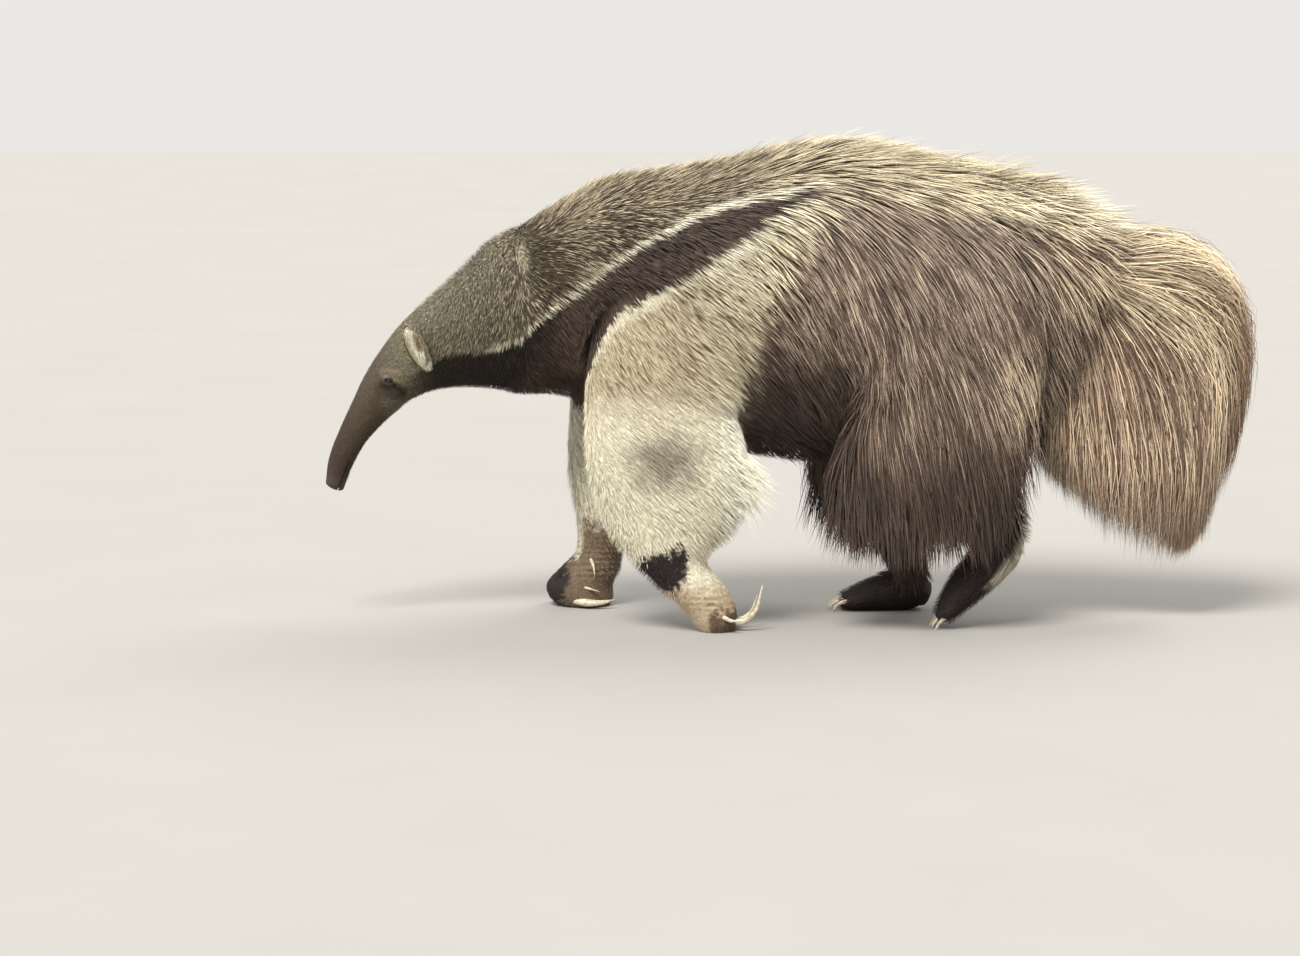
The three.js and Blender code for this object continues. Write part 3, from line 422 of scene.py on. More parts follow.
def tube_object(name, part, segments, bulge):
    """A closed tube through the limb's rings."""
    bm = bmesh.new()
    before = None
    rings = rounded_rings(part, bulge)
    for number, (centre, across, up) in enumerate(rings):
        made = bmesh.ops.create_circle(
            bm, segments=segments, radius=1, cap_ends=number in (0, len(rings) - 1),
            matrix=ring_matrix(centre, across, up),
        )
        edges = list({edge for vert in made["verts"] for edge in vert.link_edges})
        if before:
            bmesh.ops.bridge_loops(bm, edges=before + edges)
        before = edges
    bmesh.ops.recalc_face_normals(bm, faces=bm.faces)
    return finished(bm, name)


def finished(bm, name):
    mesh = bpy.data.meshes.new(name)
    bm.to_mesh(mesh)
    bm.free()
    piece = bpy.data.objects.new(name, mesh)
    bpy.context.scene.collection.objects.link(piece)
    return piece


def apply_modifiers(piece):
    depsgraph = bpy.context.evaluated_depsgraph_get()
    mesh = bpy.data.meshes.new_from_object(piece.evaluated_get(depsgraph))
    piece.modifiers.clear()
    piece.data = mesh


def combine(target, tools, operation):
    """Joins the tools to the target or cuts them from it, and removes them."""
    for tool in tools:
        modifier = target.modifiers.new("combine", "BOOLEAN")
        modifier.operation = operation
        modifier.solver = "MANIFOLD"
        modifier.object = tool
    apply_modifiers(target)
    for tool in tools:
        bpy.data.objects.remove(tool)


def ball(name, centre, halves, turn=None):
    """A rounded lump with three half sizes, perhaps turned."""
    bm = bmesh.new()
    place = Matrix.Translation(Vector(centre)) @ (turn or Matrix.Identity(4))
    bmesh.ops.create_uvsphere(
        bm, u_segments=40, v_segments=24, radius=1, matrix=place @ Matrix.Diagonal((*halves, 1)),
    )
    return finished(bm, name)


def in_frame(x, y, z):
    return Vector((x, y, z)) + Vector(SHIFT)


def mouth_blade():
    """A thin blade that cuts the line of the mouth, low round the snout's tip."""
    x, z, lean = HEAD_AND_NECK[0][:3]
    bm = bmesh.new()
    bmesh.ops.create_cube(bm, size=1)
    length = MOUTH["long"] + 0.012
    bmesh.ops.scale(bm, vec=(length, 0.08, MOUTH["gap"]), verts=bm.verts)
    bmesh.ops.translate(bm, vec=(length / 2 - 0.012, 0, 0), verts=bm.verts)
    turn = Matrix.Rotation(math.radians(-lean), 4, "Y")
    place = Matrix.Translation(in_frame(x + 0.006, 0, z - 0.003))
    bmesh.ops.transform(bm, matrix=place @ turn, verts=bm.verts)
    blade = finished(bm, "mouth_blade")
    inner = dict(LIMBS["body"])
    for key in ("across", "up"):
        lengths = np.linalg.norm(inner[key], axis=1, keepdims=True)
        inner[key] = inner[key] * (lengths - MOUTH["deep"]) / lengths
    inner = {key: values[:60] for key, values in inner.items()}
    combine(blade, [tube_object("mouth_inner", inner, 32, 0.001)], "DIFFERENCE")
    return blade


def nostril_pit(side):
    """A small slanting pit beside the middle of the snout's blunt end."""
    tip, _ = on_limb(LIMBS["body"], np.array([0.0]), np.array([math.pi / 2]))
    centre = Vector(tip[0]) + Vector((-0.0005, side * NOSTRIL["apart"] / 2, -0.0035))
    halves = (NOSTRIL["tall"], NOSTRIL["wide"], NOSTRIL["tall"] * 0.8)
    return ball("nostril", centre, halves, Matrix.Rotation(math.radians(side * 24), 4, "Z"))


def eye_centre(side):
    return in_frame(EYE["x"], side * EYE["y"], EYE["z"])


def lid_opening(side):
    """The almond between the lids, as a lump to cut from the mound over the eye."""
    centre = eye_centre(side) + Vector((0, side * (EYE["radius"] + 0.0035), 0))
    turn = Matrix.Rotation(math.radians(LID_TILT), 4, "Y")
    return ball("opening", centre, (LID_OPENING[0], 0.009, LID_OPENING[1]), turn)


# The mound of the lids, and their opening: half sizes, and its slope down towards the ear.
LID_MOUND = (0.0135, 0.0088, 0.0108)
LID_OPENING = (0.0072, 0.0035)
LID_TILT = 14
# The folds end behind this x.
FOLDS_END = -0.55
# Folds of the skin in side view, from the middle of the eye: start, end, half width, height.
FOLDS = [
    ((-0.008, 0.015), (0.014, 0.012), 0.0050, 0.0024),
    ((0.007, -0.008), (0.023, -0.020), 0.0030, -0.0020),
    ((0.012, -0.001), (0.024, -0.010), 0.0040, 0.0014),
    ((0.008, -0.022), (0.026, -0.034), 0.0045, 0.0012),
    ((0.014, 0.026), (0.034, 0.018), 0.0040, -0.0012),
    ((-0.014, -0.010), (-0.004, -0.015), 0.0040, -0.0014),
]
# Wrinkles round the far wrist and the near one: lower and upper level, spacing and height.
WRINKLES = {
    "foreleg_right": (0.040, 0.125, 0.0085, 0.0009),
    "foreleg_left": (0.030, 0.075, 0.009, 0.0007),
}


def wrinkled(name, part):
    """The leg with rings of wrinkles round its wrist."""
    low, high, spacing, depth = WRINKLES[name]
    level = part["centres"][:, 2] - SHIFT[2]
    wave = np.sin(level * 2 * math.pi / spacing) * ramp(low, low + 0.01, level)
    wave = wave * ramp(high, high - 0.02, level) * depth
    ridged = dict(part)
    for key in ("across", "up"):
        size = np.linalg.norm(part[key], axis=1, keepdims=True)
        ridged[key] = part[key] * (size + wave[:, None]) / size
    return ridged


def fold_skin(mesh):
    """Raises the brow and the cheek, and presses in the creases by the eye."""
    for vert in mesh.vertices:
        own = np.array(vert.co) - SHIFT
        if own[0] > FOLDS_END:
            continue
        move = 0.0
        for start, end, half, height in FOLDS:
            gap = near_face_line(own[0:1], own[2:3], start, end)[0]
            move += height * math.exp(-((gap / half) ** 2))
        vert.co.y += move * math.copysign(min(1, abs(own[1]) / 0.012), own[1])


def make_skin():
    """One closed skin over head, trunk, legs, feet and tail, with mouth, nostrils and lids."""
    skin = tube_object("skin", LIMBS["body"], 96, 0.006)
    fold_skin(skin.data)
    tubes = []
    for name, part in LIMBS.items():
        if name in WRINKLES:
            part = wrinkled(name, part)
        if name != "body":
            tubes.append(tube_object(name, part, 48, 0.008))
    for side in SIDES.values():
        tubes.append(ball("mound", eye_centre(side), LID_MOUND))
    combine(skin, tubes, "UNION")
    below = bmesh.new()
    bmesh.ops.create_cube(below, size=4)
    bmesh.ops.translate(below, vec=(0, 0, -2 + 0.0006), verts=below.verts)
    cuts = [mouth_blade(), finished(below, "below_floor")]
    for side in SIDES.values():
        cuts.append(nostril_pit(side))
        socket = EYE["radius"] + 0.0003
        cuts.append(ball("socket", eye_centre(side), (socket, socket, socket)))
        cuts.append(lid_opening(side))
    combine(skin, cuts, "DIFFERENCE")
    return skin


def skin_tree():
    """The skin for finding its nearest point, with its faces in the same order in each run."""
    faces = []
    for polygon in skin.data.polygons:
        corners = list(polygon.vertices)
        lowest = corners.index(min(corners))
        faces.append(corners[lowest:] + corners[:lowest])
    return BVHTree.FromPolygons([vert.co for vert in skin.data.vertices], sorted(faces))


skin = make_skin()
SKIN_TREE = skin_tree()


def nearest_on_skin(points):
    spots = np.empty_like(points)
    normals = np.empty_like(points)
    for number, point in enumerate(points):
        spot, normal, _, _ = SKIN_TREE.find_nearest(point)
        spots[number] = spot
        normals[number] = normal
    return spots, normals


# Markings. Each function gives three things for hairs seen at these points: the colour of
# their shafts, the colour of their tips, and the share of them that have such tips. Some
# markings show only on the near side, the animal's left.

GRIZZLE = linear(72, 66, 53)
GRIZZLE_TIP = linear(176, 166, 140)
SNOUT = linear(82, 69, 55)
SNOUT_TIP = linear(57, 44, 35)
# Painted light on the raised brow and cheek folds.
BROW_LIGHT = linear(150, 134, 108)
THROAT = linear(24, 19, 13)
STRIPE = linear(58, 45, 38)
STRIPE_TIP = linear(104, 84, 72)
WHITE = linear(232, 228, 206)
GOLD = linear(246, 234, 200)
GOLD_DARK = linear(106, 88, 62)
CREAM = linear(232, 226, 202)
CREAM_SHADE = linear(220, 211, 184)
CREAM_GREY = linear(140, 126, 112)
# The elbow tufts' own white, made brighter with painted light.
ELBOW_WHITE_LIT = linear(252, 249, 232)
FLANK = linear(88, 72, 62)
FLANK_PALE = linear(178, 160, 140)
FLANK_DARK = linear(42, 32, 27)
MANE = linear(212, 199, 166)
MANE_DARK = linear(70, 55, 41)
RUMP_TICK = linear(230, 208, 176)
TAIL_GOLD = linear(224, 204, 170)
TAIL_DARK = linear(112, 91, 76)
TAIL_GREY = linear(216, 192, 164)
TAIL_RUSSET = linear(164, 130, 104)
PAW_BLACK = linear(36, 29, 27)
PAW_BROWN = linear(126, 106, 84)
PAW_PALE = linear(190, 166, 134)
EAR_SAND = linear(206, 194, 146)
# Painted shade in the upper part of the ear's hollow.
EAR_SHADE = linear(122, 98, 80)

# The dark stripe in side view: its upper and lower borders, x then z.
STRIPE_TOP = [
    (-0.620, 0.330), (-0.560, 0.372), (-0.502, 0.402), (-0.436, 0.408), (-0.397, 0.423),
    (-0.367, 0.454), (-0.316, 0.497), (-0.266, 0.533), (-0.206, 0.572), (-0.146, 0.603),
    (-0.086, 0.625), (-0.016, 0.640), (0.029, 0.647), (0.100, 0.654),
]
STRIPE_BOTTOM = [
    (-0.307, 0.300), (-0.300, 0.372), (-0.281, 0.424), (-0.251, 0.469), (-0.196, 0.501),
    (-0.161, 0.519), (-0.127, 0.541), (-0.064, 0.581), (-0.016, 0.616), (0.034, 0.641),
    (0.080, 0.653),
]


def level_of(border, x):
    known = np.array(border)
    return np.interp(x, known[:, 0], known[:, 1])


def paint(marks, share, shaft, tip, pale=None, hold=1.0):
    """Lays a colour over the shafts and one over the tips, by a share at each point.
    The shafts take only hold of that share."""
    base, end, many = marks
    base = mix(base, shaft, hold * share)
    end = mix(end, tip, share)
    if pale is not None:
        many = blend(many, pale, share)
    return base, end, many


def body_markings(points, normals, near):
    own = points - SHIFT
    x, _, z = own.T
    ease = rng.normal(0, 0.002, len(x)) + 0.003 * waves(own, 0.012, 1.0)
    above = z + ease - level_of(STRIPE_TOP, x)
    below = level_of(STRIPE_BOTTOM, x) - (z + ease)
    behind = ramp(-0.315, -0.300, x)
    # Head: grizzled, with the snout brown but for its front edge
    front = 0.66 * normals[:, 2] - 0.75 * normals[:, 0]
    brown = np.maximum(ramp(-0.585, -0.615, x) * ramp(0.75, 0.15, front), ramp(-0.645, -0.668, x))
    base = mix(GRIZZLE, mix(SNOUT, SNOUT_TIP, 0.4), brown)
    base = mix(base, SNOUT_TIP, ramp(-0.630, -0.675, x))
    tip = mix(GRIZZLE_TIP, SNOUT, np.maximum(brown, ramp(-0.560, -0.640, x)))
    pale = 0.46 - 0.2 * ramp(-0.560, -0.640, x)
    # Neck and back: gold over brown, brightest along the crest
    back = ramp(-0.470, -0.310, x + 0.02 * waves(own, 0.03, 7.0))
    crest = ramp(0.45, 0.88, normals[:, 2])
    patchy = 0.5 + 0.5 * waves(own, 0.055, 6.0)
    base = mix(base, MANE_DARK, back)
    tip = mix(tip, MANE, back)
    loins = ramp(-0.10, 0.05, x)
    pale = blend(pale, 0.18 + 0.20 * patchy + (0.30 + 0.22 * loins) * crest + 0.10 * loins, back)
    dark_nape = ramp(0.060, 0.020, near_segment(x, z, (-0.372, 0.590), (-0.345, 0.530)))
    pale = pale - 0.26 * dark_nape
    tuft = ramp(0.014, 0.004, near_segment(x, z, (-0.396, 0.560), (-0.392, 0.535)))
    pale = blend(pale, 0.95, tuft)
    # Flank below the back: brown-grey with pale streaks
    edge_x = np.interp(z, (0.330, 0.455, 0.561, 0.640), (-0.092, -0.048, 0.000, 0.080))
    streak = 0.020 * waves(own * (1.0, 0.3, 0.25), 0.012, 3.0)
    top = 0.2 * np.maximum(x - 0.1, 0)
    flank = ramp(-0.022, 0.034, x - edge_x + streak) * ramp(0.680, 0.620, z + top)
    streaky = 0.42 + 0.16 * waves(own * (1.0, 0.3, 0.3), 0.03, 1.0)
    marks = paint((base, tip, pale), flank, FLANK, FLANK_PALE, streaky)
    low = ramp(0.455, 0.36, z) * ramp(-0.085, -0.045, x) * ramp(0.16, 0.05, x)
    base, tip, pale = paint(marks, low, FLANK_DARK, FLANK, hold=0.85)
    marks = base, tip, pale - 0.15 * low
    # Rump: sandy ticks beside the tail
    marks = paint(marks, rump_ticks(own), RUMP_TICK, RUMP_TICK, 0.66, hold=0.0)
    croup = ramp(0.365, 0.415, x + 0.010 * waves(own, 0.02, 2.0)) * ramp(0.440, 0.500, z)
    marks = paint(marks, croup, TAIL_DARK, TAIL_GOLD, 0.50, hold=0.7)
    # Shoulder behind the stripe: pale gold, ticked
    shoulder = ramp(0.0, 0.006, below) * behind * (1 - flank)
    marks = paint(marks, shoulder, GOLD_DARK, GOLD, 0.74)
    # The thin white line along the stripe's top, and the pale lower edge
    wide = np.interp(x, (-0.43, -0.30, 0.00), (0.006, 0.009, 0.011))
    line = ramp(-0.001, 0.001, above) * ramp(1.3, 0.9, above / wide) * ramp(-0.452, -0.425, x)
    line = line * ramp(0.12, -0.02, x) * 0.9
    edge = ramp(-0.001, 0.001, below) * ramp(0.030, 0.008, below) * behind
    edge = edge * ramp(0.09, -0.02, x)
    bright = np.maximum(line, 0.75 * edge)
    marks = paint(marks, bright, CREAM_SHADE, WHITE, 0.9, hold=0.65)
    # The stripe, and the black throat it runs down to
    stripe = ramp(0.001, -0.002, above) * (1 - ramp(-0.002, 0.001, below) * behind)
    stripe = stripe * ramp(0.105, 0.075, x) * ramp(-0.590, -0.515, x)
    throat = ramp(-0.335, -0.385, x + 0.5 * (0.43 - z))
    shafts = mix(STRIPE, THROAT, throat)
    base, tip, pale = paint(marks, stripe, shafts, mix(STRIPE_TIP, STRIPE, throat), 0.30)
    # Face: painted light on the raised brow and cheek, dark round the eye, and painted shade in the
    # crease towards the cheek and in the hollow below the eye
    # Painted shade in the hollow below the eye and in the crease towards the cheek.
    hollow = 0.78 * ramp(0.020, 0.006, near_face_line(x, z, (-0.006, -0.010), (0.014, -0.017)))
    eye = ramp(0.012, 0.006, near_face_line(x, z, (-0.004, 0.000), (0.004, -0.002)))
    crease = ramp(0.0065, 0.002, near_face_line(x, z, (0.006, -0.007), (0.022, -0.020)))
    # Painted light on the raised brow and cheek folds.
    brow = ramp(0.010, 0.003, near_face_line(x, z, (-0.008, 0.013), (0.014, 0.011)))
    cheek = ramp(0.007, 0.002, near_face_line(x, z, (0.011, 0.001), (0.022, -0.007)))
    brow = np.maximum(brow, cheek)
    base = mix(base, mix(SNOUT, BROW_LIGHT, 0.5), 0.55 * brow)
    tip = mix(tip, BROW_LIGHT, 0.7 * brow)
    dark = np.maximum(np.maximum(eye, crease), hollow)
    return paint((base, tip, pale), dark, SNOUT_TIP * 0.45, SNOUT_TIP, hold=0.85)


# Grey patch on the foreleg: centre x and z, half length and half height.
GREY_PATCH = (-0.182, 0.256, 0.066, 0.052)

# The bare black knuckle of the far forepaw, given in the same way.
KNUCKLE_PAD = (-0.352, 0.036, 0.022, 0.032)


def foreleg_markings(points, normals, near):
    own = points - SHIFT
    x, _, z = own.T
    below = level_of(STRIPE_BOTTOM, x) - z + rng.normal(0, 0.002, len(z))
    z = z + rng.normal(0, 0.006, len(z)) + 0.006 * waves(own, 0.03, 2.0)
    gold = ramp(0.300, 0.372, z)
    marks = paint((CREAM_SHADE, CREAM, 0.96), gold, GOLD_DARK, GOLD, 0.70)
    # The stripe's lower border crosses the shoulder, with a pale edge below it
    edge = ramp(-0.001, 0.001, below) * ramp(0.028, 0.006, below)
    marks = paint(marks, edge, CREAM_SHADE, WHITE, hold=0.8)
    stripe = ramp(0.001, -0.002, below) * ramp(0.30, 0.31, z)
    marks = paint(marks, stripe, STRIPE, STRIPE_TIP, 0.30)
    # White tufts behind the elbow: their own white, brightened with painted light against the shade
    # behind the leg.
    tufts = ramp(-0.120, -0.075, x) * ramp(0.130, 0.165, z) * ramp(0.350, 0.300, z)
    marks = paint(marks, tufts, CREAM, ELBOW_WHITE_LIT)
    centre_x, centre_z, half_x, half_z = GREY_PATCH
    patch = np.hypot((x - centre_x) / half_x, (z - centre_z) / half_z)
    grey = ramp(1.25, 0.20, patch + 0.18 * waves(own, 0.014, 4.0)) * (0.85 if near else 0.3)
    marks = paint(marks, grey, CREAM_GREY * 0.7, CREAM_GREY)
    if near:
        # The black patch on the front of the wrist, and the brown of the toes
        band = ramp(0.002, -0.003, z - 0.1044 - 0.41 * (x + 0.2186)) * ramp(-0.149, -0.154, x)
        band = band * ramp(-0.003, 0.002, z - 0.0817 - 0.81 * (x + 0.148))
        marks = paint(marks, band, PAW_BLACK, PAW_BLACK * 1.5)
        paw = ramp(0.085, 0.055, z) * (1 - band) * 0.8
        marks = paint(marks, paw, mix(PAW_PALE, PAW_BROWN, 0.4), PAW_PALE)
        toes = ramp(0.036, 0.026, z) * ramp(-0.125, -0.112, x)
        return paint(marks, toes, SNOUT_TIP, PAW_BROWN)
    shin = ramp(0.150, 0.118, z)
    shin = shin * (1 - ramp(0.70, 0.92, -normals[:, 0]) * ramp(0.070, 0.085, z))
    marks = paint(marks, shin, PAW_BROWN * 0.7, mix(PAW_BROWN, FLANK_PALE, 0.5))
    pad_x, pad_z, pad_long, pad_high = KNUCKLE_PAD
    knuckle = ramp(1.30, 0.90, np.hypot((x - pad_x) / pad_long, (z - pad_z) / pad_high))
    base, tip, pale = paint(marks, knuckle, PAW_BLACK, PAW_BLACK * 1.5)
    return base, tip, blend(pale, 0.25, np.maximum(shin, knuckle))


def rump_ticks(own):
    """A narrow band of sandy ticks between the thigh and the tail."""
    x, _, z = own.T
    across = ramp(0.284, 0.312, x) * ramp(0.376, 0.350, x)
    patchy = 0.75 + 0.5 * waves(own, 0.012, 3.0)
    return across * ramp(0.275, 0.345, z) * ramp(0.475, 0.405, z) * patchy


def hind_markings(points, normals, near):
    own = points - SHIFT
    x, _, z = own.T
    dusk = ramp(0.36, 0.18, z)
    base = mix(FLANK, FLANK_DARK, np.clip(0.55 * dusk + 0.25 * waves(own, 0.05, 4.0), 0, 1))
    marks = base, mix(FLANK_PALE, FLANK, dusk), 0.34 - 0.22 * dusk
    marks = paint(marks, rump_ticks(own), RUMP_TICK, RUMP_TICK, 0.66, hold=0.0)
    return pale_heel(marks, x, z) if near else marks


def pale_heel(marks, x, z):
    """The pale fringe down the back of the near heel."""
    rear = np.interp(z, (0.040, 0.080, 0.120, 0.165), (0.268, 0.300, 0.330, 0.334))
    heel = ramp(-0.004, 0.006, x - rear) * ramp(0.172, 0.158, z) * ramp(0.055, 0.070, z)
    return paint(marks, heel, CREAM_GREY, WHITE, 0.85)


def foot_markings(points, normals, near):
    own = points - SHIFT
    x, _, z = own.T
    base = np.repeat(mix(PAW_BLACK, FLANK_DARK, 0.5)[None], len(x), axis=0)
    marks = base, base * 1.9, np.full(len(x), 0.2)
    return pale_heel(marks, x, z) if near else marks


def tail_markings(points, normals, near):
    own = points - SHIFT
    x, _, z = own.T
    border = 0.446 - 0.40 * (x - 0.379) + 0.012 * waves(own, 0.02, 5.0)
    upper = ramp(-0.016, 0.016, z - border + rng.normal(0, 0.010, len(x)))
    streak = 0.5 + 0.5 * waves(own * (1.0, 0.6, 0.2), 0.016, 2.0)
    fringe = ramp(0.260, 0.130, z)
    lower_tip = mix(TAIL_GREY, TAIL_RUSSET, fringe)
    base = mix(TAIL_DARK, mix(MANE_DARK, TAIL_GOLD, 0.35), upper)
    tip = mix(lower_tip, TAIL_GOLD, upper)
    pale = blend(0.40 + 0.25 * streak, 0.66 + 0.16 * streak, upper)
    band = ramp(0.0, -0.020, z - border) * ramp(-0.090, -0.045, z - border) * ramp(0.64, 0.54, x)
    pale = pale - 0.34 * band
    base = mix(base, MANE_DARK, 0.5 * band)
    root = ramp(0.375, 0.335, x - 0.35 * (z - 0.55)) * ramp(0.50, 0.56, z)
    pale = pale - 0.35 * root
    rear = ramp(0.635, 0.670, x) * ramp(0.54, 0.48, z)
    base = mix(base, TAIL_DARK * 0.8, rear)
    tip = mix(tip, TAIL_RUSSET, rear)
    pale = pale - 0.25 * rear
    return base, tip, pale


# Lie and length of the hair. Each function gives, for every root on a limb: the way the hair
# points, its length, how far its tip stands off the skin, and how much it droops.

def pointing(degrees_down):
    """Towards the tail, this many degrees below level."""
    angle = np.radians(degrees_down)
    return np.stack((np.cos(angle), np.zeros_like(angle), -np.sin(angle)), axis=1)


def along_limb(part, place):
    """The limb's own direction at a place along its rings."""
    index = np.clip(place.astype(int), 0, len(part["centres"]) - 2)
    return unit(part["centres"][index + 1] - part["centres"][index])


def body_lie(roots, part):
    normals = roots["normals"]
    own = roots["points"] - SHIFT
    x, _, z = own.T
    side = 1 - np.clip(normals[:, 2], 0, 1)
    under = ramp(-0.3, -0.8, normals[:, 2])
    lie_back = pointing(4 + 58 * ramp(0.05, 0.75, side) - 30 * under + 6 * waves(own, 0.05, 3.0))
    lie_shoulder = pointing(4 + 36 * ramp(0.05, 0.7, side) - 30 * under + 6 * waves(own, 0.04, 5.0))
    way = mix(lie_shoulder, lie_back, ramp(-0.10, 0.04, x))
    # Ahead of the whorl on the nape the hair lies down and forward
    nape = ramp(-0.365, -0.415, x)
    cheeks = np.stack((-0.45 * np.ones(len(x)), np.zeros(len(x)), -0.9 * np.ones(len(x))), axis=1)
    way = mix(way, cheeks, nape)
    snout = ramp(-0.530, -0.585, x)
    way = mix(way, along_limb(part, roots["place"]), snout)
    length = np.interp(
        x,
        (-0.68, -0.60, -0.52, -0.44, -0.38, -0.30, -0.16, -0.02, 0.10, 0.34, 0.42),
        (0.004, 0.005, 0.008, 0.011, 0.018, 0.022, 0.028, 0.055, 0.095, 0.100, 0.105),
    )
    crest = ramp(0.70, 0.97, normals[:, 2]) * ramp(-0.42, -0.34, x)
    length = length * (1 + 0.5 * crest * ramp(0.10, -0.10, x))
    length = length * (1 - 0.45 * under)
    height = np.interp(
        x,
        (-0.68, -0.60, -0.50, -0.40, -0.30, -0.16, -0.02, 0.10, 0.24, 0.34, 0.43),
        (0.0008, 0.0013, 0.003, 0.008, 0.012, 0.015, 0.022, 0.027, 0.023, 0.013, 0.009),
    )
    height = height * (1 + 0.45 * crest * ramp(0.20, 0.05, x))
    step = ramp(0.045, 0.015, np.abs(x + 0.315)) * ramp(0.37, 0.42, z) * ramp(0.60, 0.55, z)
    length = length * (1 + 0.7 * step)
    height = height * (1 + 0.7 * step)
    droop = 0.25 * ramp(-0.05, 0.10, x) * (1 - crest) + 0.25 * ramp(0.15, 0.30, x)
    return way, length, height, droop


def foreleg_lie(roots, part):
    normals = roots["normals"]
    own = roots["points"] - SHIFT
    x, _, z = own.T
    steep = 56 - 18 * ramp(0.14, 0.24, z) + 8 * ramp(0.30, 0.42, z)
    way = pointing(steep + 8 * waves(own, 0.05, 1.0))
    length = 0.009 + 0.012 * ramp(0.08, 0.22, z)
    length = length - 0.005 * ramp(0.06, 0.03, z)
    rear = ramp(0.40, 0.85, normals[:, 0])
    feather = rear * ramp(0.12, 0.17, z) * ramp(0.36, 0.29, z)
    elbow = rear * ramp(0.045, 0.020, np.abs(z - 0.238))
    way = mix(way, pointing(40 + 20 * waves(own, 0.02, 1.0)), feather)
    way = mix(way, pointing(16 + 14 * waves(own, 0.02, 2.0)), elbow)
    length = length + 0.013 * feather + 0.044 * elbow
    height = 0.12 * length + 0.004 * feather
    # Behind the shoulder the hair runs off the leg on to the flank
    behind = ramp(0.05, 0.55, normals[:, 0]) * ramp(0.33, 0.37, z)
    way = mix(way, pointing(np.full(len(x), 30.0)), behind)
    length = length + 0.020 * behind
    height = height + 0.018 * behind
    droop = 0.05 * np.ones(len(x))
    return way, length, height, droop


def thigh_lie(roots, part):
    own = roots["points"] - SHIFT
    z = own[:, 2]
    way = pointing(60 + 24 * ramp(0.46, 0.22, z) + 8 * waves(own, 0.05, 2.0))
    length = 0.100 + 0.020 * ramp(0.40, 0.26, z) - 0.040 * ramp(0.26, 0.17, z)
    height = 0.022 * np.ones(len(z))
    droop = 0.30 * np.ones(len(z))
    return way, length, height, droop


def shank_lie(roots, part):
    place = roots["place"]
    way = mix(along_limb(part, place), pointing(np.full(len(place), 80.0)), 0.35)
    rear = ramp(0.0, 0.6, roots["normals"][:, 0])
    length = 0.040 - 0.018 * rear
    height = 0.009 - 0.006 * rear
    droop = 0.10 * np.ones(len(place))
    return way, length, height, droop


def foot_lie(roots, part):
    place = roots["place"]
    way = along_limb(part, place)
    length = 0.009 + 0.014 * ramp(26, 6, place)
    height = 0.003 * np.ones(len(place))
    droop = 0.10 * np.ones(len(place))
    return way, length, height, droop


# Growing the hair

DOWN = np.array((0.0, 0.0, -1.0))
# Roots are tried in cells between the rings and this many turns, more of them than needed.
SOWN_TURNS = 48
SPARE_ROOTS = 1.5
# A root is on the skin when it is this near to it and faces much the same way.
ON_SKIN = 0.0015
SAME_WAY = 0.3
ROOT_SUNK = 0.0015
# How much the hairs differ in direction, and the share of them that stand higher.
WAYWARD = 0.10
STRAYS = 0.06
STRAY_HEIGHT = 1.4
# A tuft's thickness as a share of its width, and the length from which it has full width.
TUFT_THICK = 0.55
FULL_WIDTH_AT = 0.012
# The size of a tuft's place on the coat's map.
PATCH_SIZE = 0.003
FLOOR_GAP = 0.0012
# Hair further out to the side than this is drawn in by a share of what is over.
FULL_SIDE = 0.192
DRAWN_IN = 0.65
# A hair shows mostly at this share of its length.
SEEN_AT = 0.65
# Tufts in a lock keep this share of their distance from its guide hair.
LOCK_SPREAD = 0.22
# How far a tuft is lit as the coat's own surface.
COAT_LIT = 0.6
# How far along a hair its points lie, by its number of segments.
STEPS = {
    2: (0, 0.38, 1),
    3: (0, 0.28, 0.62, 1),
    4: (0, 0.18, 0.42, 0.70, 1),
}


def sow(part, count, keep, buried=None):
    """Even random roots on a limb, where keep lets them grow and the limb is the skin.
    Those that buried lets through may start inside a neighbouring limb."""
    rings = len(part["centres"])
    turns = SOWN_TURNS
    ring_grid, turn_grid = np.meshgrid(np.arange(rings), np.arange(turns), indexing="ij")
    angles = turn_grid.ravel() * 2 * math.pi / turns
    grid, _ = on_limb(part, ring_grid.ravel().astype(float), angles)
    grid = grid.reshape(rings, turns, 3)
    ahead = grid[1:] - grid[:-1]
    beside = np.roll(grid, -1, axis=1)[:-1] - grid[:-1]
    area = np.linalg.norm(np.cross(ahead, beside), axis=2)
    middle = (grid[1:] + grid[:-1]) / 2
    share = keep(middle.reshape(-1, 3)).reshape(area.shape)
    chance = (area * share).ravel()
    cells = rng.choice(chance.size, size=int(count * SPARE_ROOTS), p=chance / chance.sum())
    place = cells // turns + rng.random(cells.size)
    turn = (cells % turns + rng.random(cells.size)) * 2 * math.pi / turns
    points, normals = on_limb(part, place, turn)
    spots, skin_normals = nearest_on_skin(points)
    near = np.linalg.norm(spots - points, axis=1) < ON_SKIN
    grows = near & (dot(skin_normals, normals)[:, 0] > SAME_WAY)
    if buried:
        grows = grows | buried(points, normals)
    good = np.flatnonzero(grows)[:count]
    patch = np.stack((place[good] / rings, turn[good] / (2 * math.pi)), axis=1)
    return {"points": points[good], "normals": normals[good], "place": place[good], "patch": patch}


